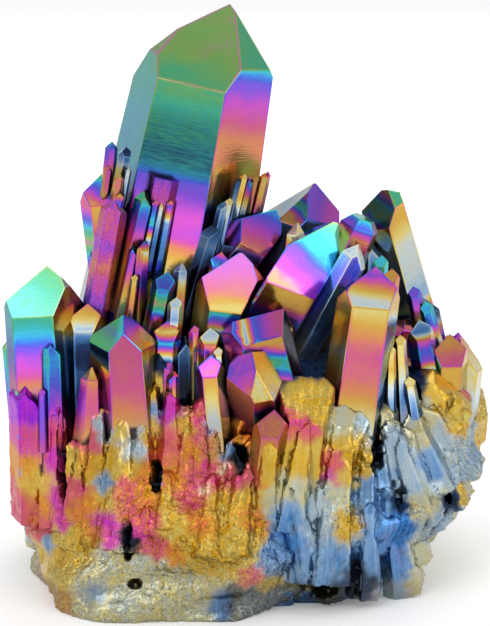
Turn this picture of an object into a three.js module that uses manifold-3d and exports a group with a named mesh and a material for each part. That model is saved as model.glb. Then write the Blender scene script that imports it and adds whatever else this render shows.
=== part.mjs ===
// Aura quartz cluster: intergrown six-sided quartz crystals on their rock matrix, one solid.
// Millimetres, +Z up, +X right, +Y to the back. The matrix is cut off flat at z = 0 and rests there.

import * as THREE from "three";
import { ConvexGeometry } from "three/addons/geometries/ConvexGeometry.js";
import { mergeVertices } from "three/addons/utils/BufferGeometryUtils.js";
import Module from "manifold-3d";

// ---- Driving dimensions -------------------------------------------------------------------

const HEIGHT = 100; // tip of the main point above the resting face
const END_FACE_RISE = 38.2; // degrees from a side face's normal up to its end face's normal
const WELD = 1e-3; // points closer than this are one corner
const PLANE_SLACK = 1e-6;
const GOLDEN_TURN = Math.PI * (3 - Math.sqrt(5)); // a turn that never lines up with itself

// How far each of the six end faces is set down the axis, in half widths. The first face looks to the
// front, the next ones follow turning to the right. A low face grows large and its neighbours shrink.
const HABITS = {
  sharp: [0, 0, 0, 0, 0, 0],
  front: [0.5, -0.3, 0, 0, 0.3, -0.8],
  left: [-0.5, 0, 0, 0.2, 0.2, 0.6],
  right: [-0.4, 0.6, 0.2, 0, 0, 0],
  back: [-0.3, 0, 0.3, 0.6, 0.2, 0],
  chisel: [0.5, -0.5, -0.4, 0.4, -0.4, -0.5],
};

// A crystal with even sides. tilt is [lean to the right, nod to the front, turn about its axis] in
// degrees, half its half width at the tip, long its length, and habit the set of its end faces.
const even = (name, tip, [lean, nod, turn], half, long, habit, more = {}) => ({
  name, tip, lean, nod, turn, long, taper: 1, sides: Array(6).fill(half),
  drops: HABITS[habit].map((drop) => drop * half), ...more,
});

// A crystal whose six sides stand at their own distances from its axis, with end faces to match.
const uneven = (name, tip, [lean, nod, turn], sides, drops, long, taper) => ({
  name, tip, lean, nod, turn, long, taper, sides, drops,
});

const CRYSTALS = [
  // The main point and the columns grown on its front
  uneven("main", [-3.5, 4, 100], [11, 4, -9],
    [10.4, 9, 8.6, 9.5, 10.2, 10.9], [-0.75, -2.5, -0.75, 0, 1.75, -4.5], 92, 3),
  even("growth_slab", [-12.5, -5, 75.5], [11, 4, -9], 2.4, 32, "sharp", { broken: 4.5 }),
  even("green_tip", [-16.5, -7, 69.5], [14, 2, 20], 1.5, 22, "right"),
  even("slit_tip_a", [-15, -7, 67.5], [12, 2, 10], 0.6, 14, "front"),
  even("slit_tip_b", [-14, -7, 67], [12, 2, 10], 0.5, 12, "sharp"),
  even("slit_tip_c", [-12.5, -7, 67.5], [11, 2, 10], 0.6, 14, "front"),
  even("low_tip_a", [-18.5, -8.5, 60], [12, 0, 0], 0.8, 20, "right"),
  even("low_tip_b", [-17, -9, 61], [5, 0, 30], 1, 22, "front"),
  even("low_tip_c", [-18.5, -10.5, 55.5], [8, 0, 10], 0.6, 14, "front"),
  even("low_tip_d", [-13, -12, 56.5], [12, 8, 0], 1.7, 18, "front"),
  even("low_tip_e", [-10.5, -10.5, 57.5], [6, 0, 15], 1.1, 18, "sharp"),
  even("low_tip_f", [-11.5, -14, 52.5], [4, 0, 0], 1.1, 14, "front"),
  even("dark_slab", [-5, -8, 64], [17, 0, 20], 1.5, 32, "left"),
  // Thin columns and the shoulder on its left
  even("upper_left_a", [-22.5, -3.5, 77], [6, 2, 10], 0.9, 20, "sharp"),
  even("upper_left_b", [-20, -5, 76.5], [11, 2, 30], 1, 20, "front"),
  even("upper_left_c", [-23, -5, 73], [9, 2, 10], 0.6, 16, "sharp"),
  even("upper_left_d", [-21, -7, 72], [9, 2, 0], 0.7, 16, "left"),
  even("upper_left_e", [-19.5, -6.5, 73], [12, 2, 0], 0.5, 16, "sharp"),
  even("upper_left_f", [-21, -8.5, 69], [9, 2, 0], 0.8, 16, "front"),
  even("shoulder", [-25, -3, 72], [-6, 0, 2], 3.2, 30, "front", { taper: 0 }),
  even("bark_column", [-21.5, -8, 68.5], [11, 2, 0], 2, 34, "back", { taper: 0.5 }),
  // The comb of thin crystals on its right
  even("comb_0", [-1, -4, 71], [14, 0, 10], 0.6, 15, "left"),
  even("comb_1", [0, -3.5, 71.5], [14, 0, 10], 0.7, 15, "sharp"),
  even("comb_2", [1, -3, 71], [14, 0, 10], 0.7, 15, "right"),
  even("comb_3", [2, -2, 71], [14, 0, 10], 0.6, 15, "front"),
  even("comb_4", [3.5, -1.5, 71.5], [14, 0, 10], 0.8, 15, "back"),
  even("comb_5", [4, -1, 71.5], [13, 0, 10], 0.5, 15, "sharp"),
  even("comb_low_a", [-2.5, -7, 68], [13, 0, 10], 0.7, 15, "front"),
  even("comb_low_b", [-3.5, -7.5, 67.5], [13, 0, 20], 0.8, 18, "left"),
  even("dark_box", [-2.5, -6, 63.75], [13, 0, 20], 1.6, 16, "sharp", { broken: 4 }),
  even("box_step", [-3, -7, 61.25], [14, 0, 20], 1.6, 14, "sharp", { broken: 4 }),
  even("pale_step", [-4, -8.5, 59.25], [14, 4, 10], 1.6, 16, "front"),
  // Large faceted crystals in the middle
  uneven("pink_yellow", [-1, -9.5, 59.75], [7, 1, 0],
    [5.5, 4, 5, 5.4, 4.9, 5.8], [2.7, -0.3, -0.6, -0.6, 0.4, -4], 32, 1.5),
  uneven("magenta_facet", [4.75, -2.5, 65.75], [36, -2, 19],
    [3.9, 4, 3.5, 4, 4, 4.2], [2.6, -3.6, -2.9, -1.8, 1, -5.8], 34, 1.5),
  uneven("shelf", [14.75, -8, 64.75], [29, 10, 21],
    [6.3, 4.7, 6.9, 6.3, 3.8, 9.8], [4.5, -3.5, -3.5, -1.5, 2.1, -3.9], 45, 0.5),
  uneven("centre_magenta", [2, -16.5, 53], [-13, 0, 10],
    [4.3, 3.8, 3.3, 3.3, 6, 6.4], [1.1, -4.7, -5.4, 4.8, -3.4, -3.7], 40, 1),
  even("between", [9, -3, 63], [6, 0, 30], 1.6, 24, "sharp"),
  even("teal_small", [-5.5, -11, 49.5], [0, 0, 0], 1.1, 24, "front"),
  even("gold_side", [7, -14, 50], [8, 0, 20], 1.5, 30, "right"),
  uneven("front_facing", [2, -25, 44], [-1, 33, 12],
    [3.9, 3.5, 6.3, 5.7, 5, 3.2], [0.7, 1.5, -4.3, -2.5, -3.2, 0.7], 18, 1),
  even("stepped", [10.5, -20, 42], [8, 5, 10], 4.4, 34, "chisel", { taper: 4 }),
  even("orange_facet", [4.5, -27, 36.5], [5, 20, 0], 2.4, 14, "front"),
  // Tall crystals behind and to the right
  uneven("back_top", [11.5, 7, 68.5], [17, -4, 44],
    [5.6, 6.5, 7.6, 4.8, 5.7, 7.7], [-1.2, -4.6, 0, 1.1, 0.5, -2.4], 45, 1),
  even("round_shoulder", [21, -4, 66], [22, 4, 12], 3, 40, "sharp", { broken: 2.2 }),
  even("gap_back", [22, 3, 59.5], [0, 0, 15], 2.1, 34, "right"),
  even("silver_long", [20, -8, 60.5], [27, 6, 14], 2.2, 40, "right"),
  even("small_cyan", [23, -8, 58.5], [4, 0, 0], 1.2, 30, "front"),
  uneven("long_prism", [21.5, -15, 58.5], [7, 3, 6],
    [3.75, 4.25, 4.5, 4.5, 4.5, 4.75], [2.25, -1.5, 0, 0, 1, -1], 44, 1),
  even("gold_prism", [24.5, -12, 57], [6, 0, 0], 1.4, 30, "front"),
  even("silver_column", [23, -13, 51], [3, 0, 10], 1.1, 34, "right"),
  uneven("right_back", [23.25, 6.5, 66.75], [-16, 20, -25],
    [5.4, 5, 3.4, 5.8, 5.9, 3.8], [-2.9, -4.9, -4.3, 0.5, 1.1, -6.6], 42, 1.5),
  uneven("back_fill_a", [37, 12, 40.5], [4, -2, 5],
    [5.2, 4.6, 4.8, 5, 5, 4.6], [0.6, -0.6, 0, 0.6, 0, -0.6], 24, 2),
  // The right edge
  even("violet_small", [29, 0, 51.5], [-12, 0, 0], 1.1, 28, "front"),
  even("cyan_small", [31, -1, 49], [-15, 0, 0], 1.1, 28, "front"),
  even("blue_gradient", [29.5, -6, 47], [-10, 0, 10], 2, 26, "front"),
  even("navy_column", [31, 2, 49], [-12, 0, 0], 2.1, 26, "sharp"),
  even("white_prism_a", [24.5, -14, 44], [0, 0, 0], 0.7, 22, "front"),
  even("white_prism_b", [26, -12, 45.5], [-4, 0, 0], 0.9, 24, "front"),
  even("white_chip", [27.5, -13, 38.5], [-10, 0, 0], 0.9, 20, "front"),
  even("right_mass", [35, -5, 44.5], [2, 4, 10], 3.1, 24, "front"),
  even("right_outer", [38.5, 0, 43], [6, 0, 10], 3.3, 22, "right"),
  even("right_rim", [37.5, 3, 42.5], [4, 0, 10], 1.9, 26, "sharp"),
  // The left point and its neighbours
  uneven("left_point", [-34.3, -9, 57.5], [-3, 0, -3],
    [6.1, 4.9, 6.9, 5, 3.9, 7.1], [0.6, -2, 0, 0, 2, -6], 36, 0.5),
  even("far_left_tip", [-40.5, -8, 43.5], [-5, 0, 0], 0.9, 24, "sharp"),
  even("mid_left_tip", [-32.5, -14, 46], [0, 0, 20], 1.8, 40, "right"),
  even("left_dark_tip", [-27, -10, 51], [-1, 0, -5], 2.8, 48, "front"),
  uneven("cyan_facet", [-20.5, -17, 51], [-3, 5, -60],
    [4, 4.25, 4.75, 4.75, 4.75, 5.75], [0.75, -2.25, 0, 0, 2, -6], 44, 2),
  even("column_tip", [-25.5, -17, 41], [3, 3, 10], 1.4, 38, "sharp", { taper: 5 }),
  even("orange_column", [-29, -18, 29], [0, 4, 10], 1.1, 20, "front", { taper: 8 }),
  even("left_fused_a", [-38.5, -9, 35.5], [-8, 3, 5], 2, 28, "right", { taper: 2 }),
  even("left_fused_b", [-33.5, -13, 36], [-3, 3, -5], 2.2, 28, "left", { taper: 2 }),
  even("tiny_tip_a", [-38, -14.5, 37], [-2, 0, 0], 0.6, 9, "front"),
  even("tiny_tip_b", [-34, -16, 37], [0, 0, 0], 0.6, 11, "front"),
  // Small tips between the large ones
  even("pale_green_tip", [-13, -15, 49], [3, 0, 0], 2.1, 34, "front"),
  even("dark_prism", [-10.5, -14, 46], [0, 0, 10], 1.7, 30, "left"),
  even("pink_tip", [-8.5, -15, 47.75], [0, 0, 20], 0.8, 30, "front"),
  even("white_tip", [-6, -15.5, 47.75], [0, 0, 10], 1.7, 30, "front"),
  even("white_small", [-4.5, -18, 44.75], [0, 0, 10], 0.8, 20, "front"),
  even("gold_body", [-6, -19.5, 44], [-5, 5, -5], 2, 30, "front"),
  even("violet_tip", [-13, -17, 42.5], [0, 0, 0], 0.9, 24, "front"),
  even("narrow_tip", [-12, -19, 41], [0, 0, 0], 0.9, 20, "left"),
  even("rough_gold_a", [-16, -16, 45.5], [2, 6, 0], 1.7, 36, "chisel", { taper: 4 }),
  even("rough_gold_b", [-14, -17, 44], [4, 6, 10], 1.3, 30, "right", { taper: 3 }),
  // Fused columns of the lower half
  even("low_a", [2, -21, 32], [9, 7, 15], 3.9, 34, "chisel", { taper: 3 }),
  even("low_b", [9.5, -20.5, 32.5], [8, 8, 10], 2.5, 36, "left", { taper: 3 }),
  even("low_c", [16.5, -18.5, 36], [9, 8, 0], 4.4, 40, "chisel"),
  even("low_e", [21, -19, 29], [3, 8, 0], 1.5, 28, "front", { taper: 2 }),
  even("low_f", [25, -15, 31], [-20, 10, 0], 2.7, 21, "front", { taper: 2 }),
  even("low_g", [24, -16, 32.5], [-12, 8, 0], 1.5, 28, "front", { taper: 2 }),
  even("low_h", [24.5, -9, 39], [-46, 12, 10], 4.7, 15.5, "left", { taper: 2 }),
  even("low_i", [26, -15, 21], [4, 11, 0], 3, 19, "left", { taper: 2 }),
  even("low_j", [20.5, -22, 18.5], [1, 7, 0], 1.2, 15, "front"),
  even("low_k", [29.5, -10, 30], [-24, 10, 0], 2.9, 17, "front", { taper: 2 }),
  even("low_l", [35, -4, 28.5], [0, 8, 0], 2.7, 16, "front", { taper: 2 }),
  even("low_m", [-12, -18.5, 36.5], [0, 6, 0], 1.4, 26, "left", { taper: 3 }),
  even("low_n", [-8, -20, 35], [1, 7, 0], 1.2, 24, "front", { taper: 3 }),
  even("low_mid", [-10, -19, 35.5], [2, 7, 20], 1.6, 24, "chisel", { taper: 3 }),
  even("fill_a", [-21, -18, 32.5], [1, 6, 0], 2.1, 26, "left", { taper: 4 }),
  even("fill_c", [-14.5, -16, 36.5], [2, 7, 0], 1.8, 30, "chisel", { taper: 4 }),
  even("fill_e", [0, -18, 35], [2, 7, 10], 2.2, 30, "right", { taper: 2 }),
  even("fill_h", [6.5, -18, 36], [6, 7, 0], 2, 32, "front", { taper: 2 }),
  even("fill_i", [23.5, -14, 36], [-4, 6, 0], 1.8, 32, "right", { taper: 2 }),
  even("fill_j", [-32, -14, 28], [-1, 5, 0], 1.5, 26, "sharp", { taper: 3 }),
  even("foot_column", [6.5, -18.5, 10], [12, 8, 0], 1.4, 12, "left", { taper: 2 }),
  even("foot_slab", [-34.5, -14, 12.5], [-16, 6, 0], 2, 14, "chisel", { taper: 2 }),
  even("foot_blue_a", [19.5, -16.5, 14], [2, 8, 0], 1.8, 14, "chisel"),
  even("foot_blue_b", [26, -13, 15], [2, 10, 0], 2.3, 15, "left"),
  even("foot_window", [-3.5, -25, 6], [0, 3, 0], 2, 9, "chisel"),
  even("low_d", [8, -21, 22.5], [6, 6, 0], 1.8, 20, "chisel", { taper: 3 }),
  even("foot_blue_c", [13, -17, 11.5], [4, 6, 0], 2.3, 12, "chisel"),
  // The back of the cluster
  even("back_a", [-13, 15, 64], [-4, -8, 0], 5.2, 46, "back"),
  even("back_b", [7, 17, 55], [6, -12, 15], 4.6, 42, "front"),
  even("back_c", [-24, 13, 50], [-12, -8, 20], 4.2, 38, "back"),
  even("back_d", [19, 16, 49], [12, -10, 0], 4.6, 38, "left"),
  even("back_e", [-1, 25, 46], [0, -16, 10], 4.4, 36, "back"),
  even("back_f", [28, 11, 45], [6, -6, 25], 3.6, 34, "back"),
  even("back_g", [-31, 8, 41], [-10, -4, 0], 3.8, 32, "right"),
  even("back_h", [-19, 25, 38], [-10, -20, 10], 4.2, 28, "back"),
  even("back_i", [11, 26, 36], [8, -20, 0], 4.4, 26, "back"),
  even("back_j", [24, 20, 33], [18, -16, 10], 3.8, 24, "front"),
  even("back_k", [-30, 18, 34], [-20, -14, 0], 3.8, 24, "left"),
  even("back_l", [0, 14, 60], [2, -10, 20], 3.6, 36, "sharp"),
  even("back_m", [-9, 29, 33], [-4, -30, 0], 3.4, 20, "left"),
  even("back_n", [4, 31, 25], [4, -42, 20], 3.2, 16, "front"),
  even("back_o", [-26, 27, 25], [-28, -34, 10], 3, 16, "sharp"),
  even("back_p", [21, 27, 24], [26, -36, 0], 3.2, 16, "right"),
  even("back_r", [38, 4, 28], [26, -6, 0], 3.2, 18, "front"),
  even("back_t", [14, 21, 42], [10, -16, 5], 2.8, 24, "back"),
];

// ---- Matrix sizes ---------------------------------------------------------------------------

const MATRIX_CORNERS = 560;
const SQUARENESS = 2.5; // 2 is a true oval
const SWELL = 1; // mm, broad lumps
const ROUGHNESS = 1.3; // mm, each corner's own offset
const UNDERSIDE = 6; // mm, how far the uncut matrix goes on below the resting face
const FOOT_HEIGHT = 14; // above this the wall no longer follows the resting face's outline

// The matrix's wall at each height: how far it stands from the middle on its four sides.
const MATRIX_LEVELS = [
  { z: 0, left: 36.5, right: 31, front: 27, back: 27 },
  { z: 5, left: 38.2, right: 33.5, front: 28.5, back: 28.5 },
  { z: 10, left: 38.8, right: 35.5, front: 26.5, back: 29 },
  { z: 15, left: 39.2, right: 38.5, front: 24, back: 29 },
  { z: 21, left: 39, right: 39.3, front: 20.5, back: 28 },
  { z: 27, left: 36, right: 39, front: 17, back: 26 },
  { z: 33, left: 32, right: 34, front: 14, back: 22 },
  { z: 39, left: 23, right: 24, front: 10, back: 16 },
  { z: 44, left: 6, right: 6, front: 5, back: 7 },
];

// The resting face's outline: how far it reaches at each bearing, in degrees from the right.
const RESTING_OUTLINE = [
  [-180, 38.4], [-158, 38], [-146, 38.6], [-134, 36.4], [-122, 33.4], [-110, 30.6], [-98, 29],
  [-86, 25.8], [-76, 22], [-62, 20.5], [-48, 21.5], [-34, 25.5], [-16, 29], [8, 31.8], [30, 34],
  [60, 30], [90, 27], [120, 31], [150, 37], [180, 38.2],
];

// Where the wall swells: the druse at the front, the shoulder under the right-hand crystals and the
// root of the main point. Each has its bearing and height, its reach round and up the wall, and how
// far it stands out.
const SWELLINGS = [
  { bearing: -115, z: 19, spanDegrees: 34, spanHeight: 9, out: 4.5 },
  { bearing: 17, z: 30, spanDegrees: 17, spanHeight: 8, out: 5.5 },
  { bearing: 147, z: 16, spanDegrees: 26, spanHeight: 12, out: 4.5 },
];

// ---- A crystal from its faces --------------------------------------------------------------

const radians = THREE.MathUtils.degToRad;

// The crystal's own directions: up its axis, out to its front and out to its right.
function directions(lean, nod) {
  const up = new THREE.Vector3(
    Math.sin(radians(lean)) * Math.cos(radians(nod)),
    -Math.sin(radians(nod)),
    Math.cos(radians(lean)) * Math.cos(radians(nod)),
  );
  const front = new THREE.Vector3(0, -1, 0).addScaledVector(up, up.y).normalize();
  const right = new THREE.Vector3().crossVectors(up, front);
  return { up, front, right };
}

// A plane that bounds the solid: the solid lies on the side away from its normal.
function bound(normal, point, outward) {
  return new THREE.Plane(normal, -(normal.dot(point) + outward));
}

function sideAndEndFaces(crystal) {
  const { up, front, right } = directions(crystal.lean, crystal.nod);
  const tip = new THREE.Vector3(...crystal.tip);
  const taper = radians(crystal.taper);
  const rise = radians(END_FACE_RISE);
  const planes = [];
  for (let k = 0; k < 6; k += 1) {
    const turn = radians(crystal.turn + 60 * k);
    const out = front.clone().multiplyScalar(Math.cos(turn)).addScaledVector(right, Math.sin(turn));
    const side = out.clone().multiplyScalar(Math.cos(taper)).addScaledVector(up, Math.sin(taper));
    const end = out.clone().multiplyScalar(Math.cos(rise)).addScaledVector(up, Math.sin(rise));
    planes.push(bound(side, tip, crystal.sides[k]));
    planes.push(bound(end, tip, -crystal.drops[k] * Math.sin(rise)));
  }
  planes.push(bound(up.clone().negate(), tip, crystal.long));
  if (crystal.broken) planes.push(bound(up, tip, -crystal.broken));
  return planes;
}

// The point where three planes meet, or null where they don't.
function meeting(a, b, c) {
  const bc = new THREE.Vector3().crossVectors(b.normal, c.normal);
  const volume = a.normal.dot(bc);
  if (Math.abs(volume) < PLANE_SLACK) return null;
  const ca = new THREE.Vector3().crossVectors(c.normal, a.normal);
  const ab = new THREE.Vector3().crossVectors(a.normal, b.normal);
  return bc.multiplyScalar(-a.constant)
    .addScaledVector(ca, -b.constant)
    .addScaledVector(ab, -c.constant)
    .divideScalar(volume);
}

function corners(planes) {
  const points = [];
  for (let i = 0; i < planes.length; i += 1) {
    for (let j = i + 1; j < planes.length; j += 1) {
      for (let k = j + 1; k < planes.length; k += 1) {
        const point = meeting(planes[i], planes[j], planes[k]);
        if (!point) continue;
        if (planes.some((plane) => plane.distanceToPoint(point) > PLANE_SLACK)) continue;
        if (points.some((other) => other.distanceTo(point) < WELD)) continue;
        points.push(point);
      }
    }
  }
  return points;
}

const crystalGeometry = (crystal) => new ConvexGeometry(corners(sideAndEndFaces(crystal)));

// ---- Matrix --------------------------------------------------------------------------------

// A repeatable spread of numbers from 0 to 1.
const spread = (n) => {
  const wave = Math.sin(n * 12.9898) * 43758.5453;
  return wave - Math.floor(wave);
};

// The wall's four distances at a height, between its two nearest levels.
function levelAt(z) {
  const found = MATRIX_LEVELS.findIndex((level) => level.z > z);
  const upper = found < 0 ? MATRIX_LEVELS.length - 1 : found;
  const [low, high] = [MATRIX_LEVELS[upper - 1], MATRIX_LEVELS[upper]];
  const between = (key) => THREE.MathUtils.mapLinear(z, low.z, high.z, low[key], high[key]);
  return { left: between("left"), right: between("right"), front: between("front"), back: between("back") };
}

// How far the resting face reaches at a bearing, between its two nearest corners.
function restingReach(degrees) {
  const upper = Math.max(1, RESTING_OUTLINE.findIndex(([bearing]) => bearing >= degrees));
  const [[from, near], [to, far]] = [RESTING_OUTLINE[upper - 1], RESTING_OUTLINE[upper]];
  return THREE.MathUtils.mapLinear(degrees, from, to, near, far);
}

// How far the wall swells out at a place.
function swelling(degrees, z) {
  let out = 0;
  for (const swell of SWELLINGS) {
    const along = (degrees - swell.bearing) / swell.spanDegrees;
    const up = (z - swell.z) / swell.spanHeight;
    out += swell.out * Math.exp(-(along ** 4) - up ** 4);
  }
  return out;
}

// How far the wall stands from the middle: the resting outline at the foot, a squared oval above.
function reachOf(angle, z) {
  const degrees = THREE.MathUtils.radToDeg(angle);
  if (z < 0) return restingReach(degrees) * THREE.MathUtils.clamp(1 + z / UNDERSIDE, 0.2, 1);
  const level = levelAt(z);
  const across = Math.abs(Math.cos(angle)) / (Math.cos(angle) < 0 ? level.left : level.right);
  const along = Math.abs(Math.sin(angle)) / (angle < 0 ? level.front : level.back);
  const oval = (across ** SQUARENESS + along ** SQUARENESS) ** (-1 / SQUARENESS);
  const lift = THREE.MathUtils.smoothstep(z, 0, FOOT_HEIGHT);
  return THREE.MathUtils.lerp(restingReach(degrees), oval, lift) + swelling(degrees, z);
}

// A corner of the craggy wall, found from its own direction on a ball.
function placeOnWall(point, seed) {
  const highest = MATRIX_LEVELS[MATRIX_LEVELS.length - 1].z;
  const z = THREE.MathUtils.mapLinear(point.z, -1, 1, -UNDERSIDE, highest);
  const angle = Math.atan2(point.y, point.x);
  const swell = Math.sin(5 * angle + 0.31 * z) + Math.sin(8 * angle - 0.43 * z + 2) * Math.cos(0.5 * z);
  const reach = reachOf(angle, z) + SWELL * swell + ROUGHNESS * (2 * spread(seed) - 1);
  point.set(Math.cos(angle) * reach, Math.sin(angle) * reach, z + ROUGHNESS * (spread(seed + 900) - 0.5));
}

// The matrix: corners spread evenly over a ball and joined there, then moved out to the wall.
function matrixGeometry() {
  const points = [];
  for (let n = 0; n < MATRIX_CORNERS; n += 1) {
    const height = 1 - (2 * n + 1) / MATRIX_CORNERS;
    const ring = Math.sqrt(1 - height ** 2);
    const turn = n * GOLDEN_TURN;
    points.push(new THREE.Vector3(Math.cos(turn) * ring, Math.sin(turn) * ring, height));
  }
  const ball = new ConvexGeometry(points);
  const place = ball.attributes.position;
  const point = new THREE.Vector3();
  for (let i = 0; i < place.count; i += 1) {
    point.fromBufferAttribute(place, i);
    placeOnWall(point, Math.round(((1 - point.z) * MATRIX_CORNERS - 1) / 2));
    place.setXYZ(i, point.x, point.y, point.z);
  }
  return ball;
}

// ---- Joining -------------------------------------------------------------------------------

const wasm = await Module();
wasm.setup();

function toSolid(geometry) {
  const bare = geometry.clone();
  bare.deleteAttribute("normal");
  bare.deleteAttribute("uv");
  const merged = mergeVertices(bare, WELD);
  return new wasm.Manifold(new wasm.Mesh({
    numProp: 3,
    vertProperties: new Float32Array(merged.attributes.position.array),
    triVerts: new Uint32Array(merged.index.array),
  }));
}

function toGeometry(solid) {
  const { vertProperties, triVerts } = solid.getMesh();
  const geometry = new THREE.BufferGeometry();
  geometry.setAttribute("position", new THREE.BufferAttribute(vertProperties, 3));
  geometry.setIndex(outerShell(triVerts, vertProperties.length / 3));
  return geometry;
}

// The triangles of the largest shell; small gaps sealed in between crystals are filled that way.
function outerShell(triangles, cornerCount) {
  const lead = Array.from({ length: cornerCount }, (_, n) => n);
  const find = (n) => {
    while (lead[n] !== n) n = lead[n] = lead[lead[n]];
    return n;
  };
  const sizes = new Map();
  for (let i = 0; i < triangles.length; i += 3) {
    lead[find(triangles[i])] = find(triangles[i + 1]);
    lead[find(triangles[i + 1])] = find(triangles[i + 2]);
  }
  for (const corner of triangles) sizes.set(find(corner), (sizes.get(find(corner)) ?? 0) + 1);
  const largest = [...sizes.entries()].sort((a, b) => b[1] - a[1])[0][0];
  const kept = [];
  for (let i = 0; i < triangles.length; i += 3) {
    if (find(triangles[i]) === largest) kept.push(triangles[i], triangles[i + 1], triangles[i + 2]);
  }
  return kept;
}

// Everything that would reach below the resting face.
function ground() {
  const slab = new THREE.BoxGeometry(3 * HEIGHT, 3 * HEIGHT, HEIGHT);
  slab.translate(0, 0, -HEIGHT / 2);
  return slab;
}

function cluster() {
  let solid = toSolid(matrixGeometry());
  for (const crystal of CRYSTALS) solid = solid.add(toSolid(crystalGeometry(crystal)));
  const geometry = toGeometry(solid.subtract(toSolid(ground())));
  return standOverOrigin(geometry);
}

// The middle of the whole stands over the origin, and every face is left flat.
function standOverOrigin(geometry) {
  geometry.computeBoundingBox();
  const middle = geometry.boundingBox.getCenter(new THREE.Vector3());
  const flat = geometry.toNonIndexed();
  flat.translate(-middle.x, -middle.y, 0);
  flat.computeVertexNormals();
  return flat;
}

// ---- Scene graph ---------------------------------------------------------------------------

const auraCoat = new THREE.MeshStandardMaterial({ color: 0xb07ab8, roughness: 0.25, metalness: 0.6 });
const quartzCluster = new THREE.Mesh(cluster(), auraCoat);
quartzCluster.name = "quartz_cluster";

const auraQuartz = new THREE.Group();
auraQuartz.add(quartzCluster);

export default auraQuartz;
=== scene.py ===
"""Aura quartz cluster: metal-coated crystals, fused columns and the rock they grew from.

Every crystal is sawn out of a six-sided column by its own faces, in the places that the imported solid
has them. The coating is one thin film: its thickness is painted on the faces, and the material turns
thickness into colour, as light does.
"""

import math

import bpy
import numpy as np
from mathutils import Matrix, Vector
from mathutils.bvhtree import BVHTree


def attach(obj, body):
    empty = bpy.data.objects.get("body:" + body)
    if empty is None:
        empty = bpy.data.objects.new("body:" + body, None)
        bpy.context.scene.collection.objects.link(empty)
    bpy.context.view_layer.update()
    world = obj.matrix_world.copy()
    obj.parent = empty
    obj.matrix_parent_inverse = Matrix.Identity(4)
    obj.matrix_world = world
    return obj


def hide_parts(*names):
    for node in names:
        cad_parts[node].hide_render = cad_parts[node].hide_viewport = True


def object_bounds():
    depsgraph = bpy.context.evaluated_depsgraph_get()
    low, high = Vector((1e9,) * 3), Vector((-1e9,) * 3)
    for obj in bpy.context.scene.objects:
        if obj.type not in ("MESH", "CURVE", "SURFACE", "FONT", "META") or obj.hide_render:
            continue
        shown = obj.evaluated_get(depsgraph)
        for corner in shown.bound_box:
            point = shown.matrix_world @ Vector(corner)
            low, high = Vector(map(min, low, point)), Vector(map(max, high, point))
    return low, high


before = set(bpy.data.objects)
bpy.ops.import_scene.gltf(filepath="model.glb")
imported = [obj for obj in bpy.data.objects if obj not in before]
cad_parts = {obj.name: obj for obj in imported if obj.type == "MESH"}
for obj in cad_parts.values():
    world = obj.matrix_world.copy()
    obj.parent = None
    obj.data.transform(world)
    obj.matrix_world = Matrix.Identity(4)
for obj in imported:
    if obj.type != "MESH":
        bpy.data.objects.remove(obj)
packed_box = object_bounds()

# ---- Sizes -----------------------------------------------------------------------------------

MM = 0.001
MIDDLE = Vector((-0.2107, -0.0824, 0.0))  # mm, the catalogue's own middle, which stands over the origin
END_FACE_RISE = math.radians(38.2)  # from a side face's normal up to its end face's normal
BODY = "root"
NODE = "quartz_cluster"
DOWN = Vector((0, 0, -1))
CLEARANCE = 0.02  # mm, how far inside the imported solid's box everything stays

BROAD, SLENDER, HAIR_THIN = 3, 1.5, 0.75  # mm, half widths that tell broad crystals from thin ones
BLANK_SPARE = 1.3  # how much wider a blank is than the crystal that is sawn out of it
CUT_EXACTNESS = 1e-7  # m
# The rim is thicker film, and also carries a faint painted highlight along the edge.
RIM = 0.42  # mm, how far the coating's coloured rim reaches in from a crystal's edge
RIM_NEEDS = 1.6  # how many rims wide half a face has to be to get one
WORN_EDGE = 0.07  # mm, the flat that wear leaves along an edge
SHARP_EDGE = math.radians(12)
RING_STEP = 1.6  # mm between the rings that the coating's colours are painted on
FIRST_RING = 0.9  # mm below the tip
LENGTHWISE_LINES = range(-6, 7)  # the same steps, across a broad crystal from its axis
THINNER, THICKER = -0.075, 0.01  # how far the film varies on the fused columns and the rock
FACE_VARIES = 0.05  # how much thicker or thinner the film is on one face than on the next
TONE_VARIES = 0.14  # how much paler or darker one face of a fused column is than the next
FAR_AWAY = 99  # mm, further than any edge

# How far each end face is set down the axis, in half widths. The first looks to the front, and the
# next ones follow turning to the right.
HABITS = {
    "sharp": (0, 0, 0, 0, 0, 0),
    "front": (0.5, -0.3, 0, 0, 0.3, -0.8),
    "left": (-0.5, 0, 0, 0.2, 0.2, 0.6),
    "right": (-0.4, 0.6, 0.2, 0, 0, 0),
    "back": (-0.3, 0, 0.3, 0.6, 0.2, 0),
    "chisel": (0.5, -0.5, -0.4, 0.4, -0.4, -0.5),
}

# The heights in mm between which a crystal takes on the colours of the columns round it.
FUSED_BELOW = {"left_point": (33, 38), "mid_left_tip": (30, 38), "left_dark_tip": (28, 36)}
FUSED_BELOW_ELSEWHERE = (24, 36)
FREE_TIP = (4, 14)  # mm from the tip: above, no crystal takes them on, and below, all may
FUSED_COARSENESS = 0.6

# Crystals whose faces are etched and striated instead of clean, from 0 to 1.
ROUGH = {
    "growth_slab": 0.6, "bark_column": 0.7, "front_facing": 0.25, "low_tip_e": 0.4, "low_tip_b": 0.3,
    "silver_column": 0.5, "right_outer": 0.35, "right_rim": 0.5, "orange_facet": 0.3, "silver_long": 0.25,
}

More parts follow.
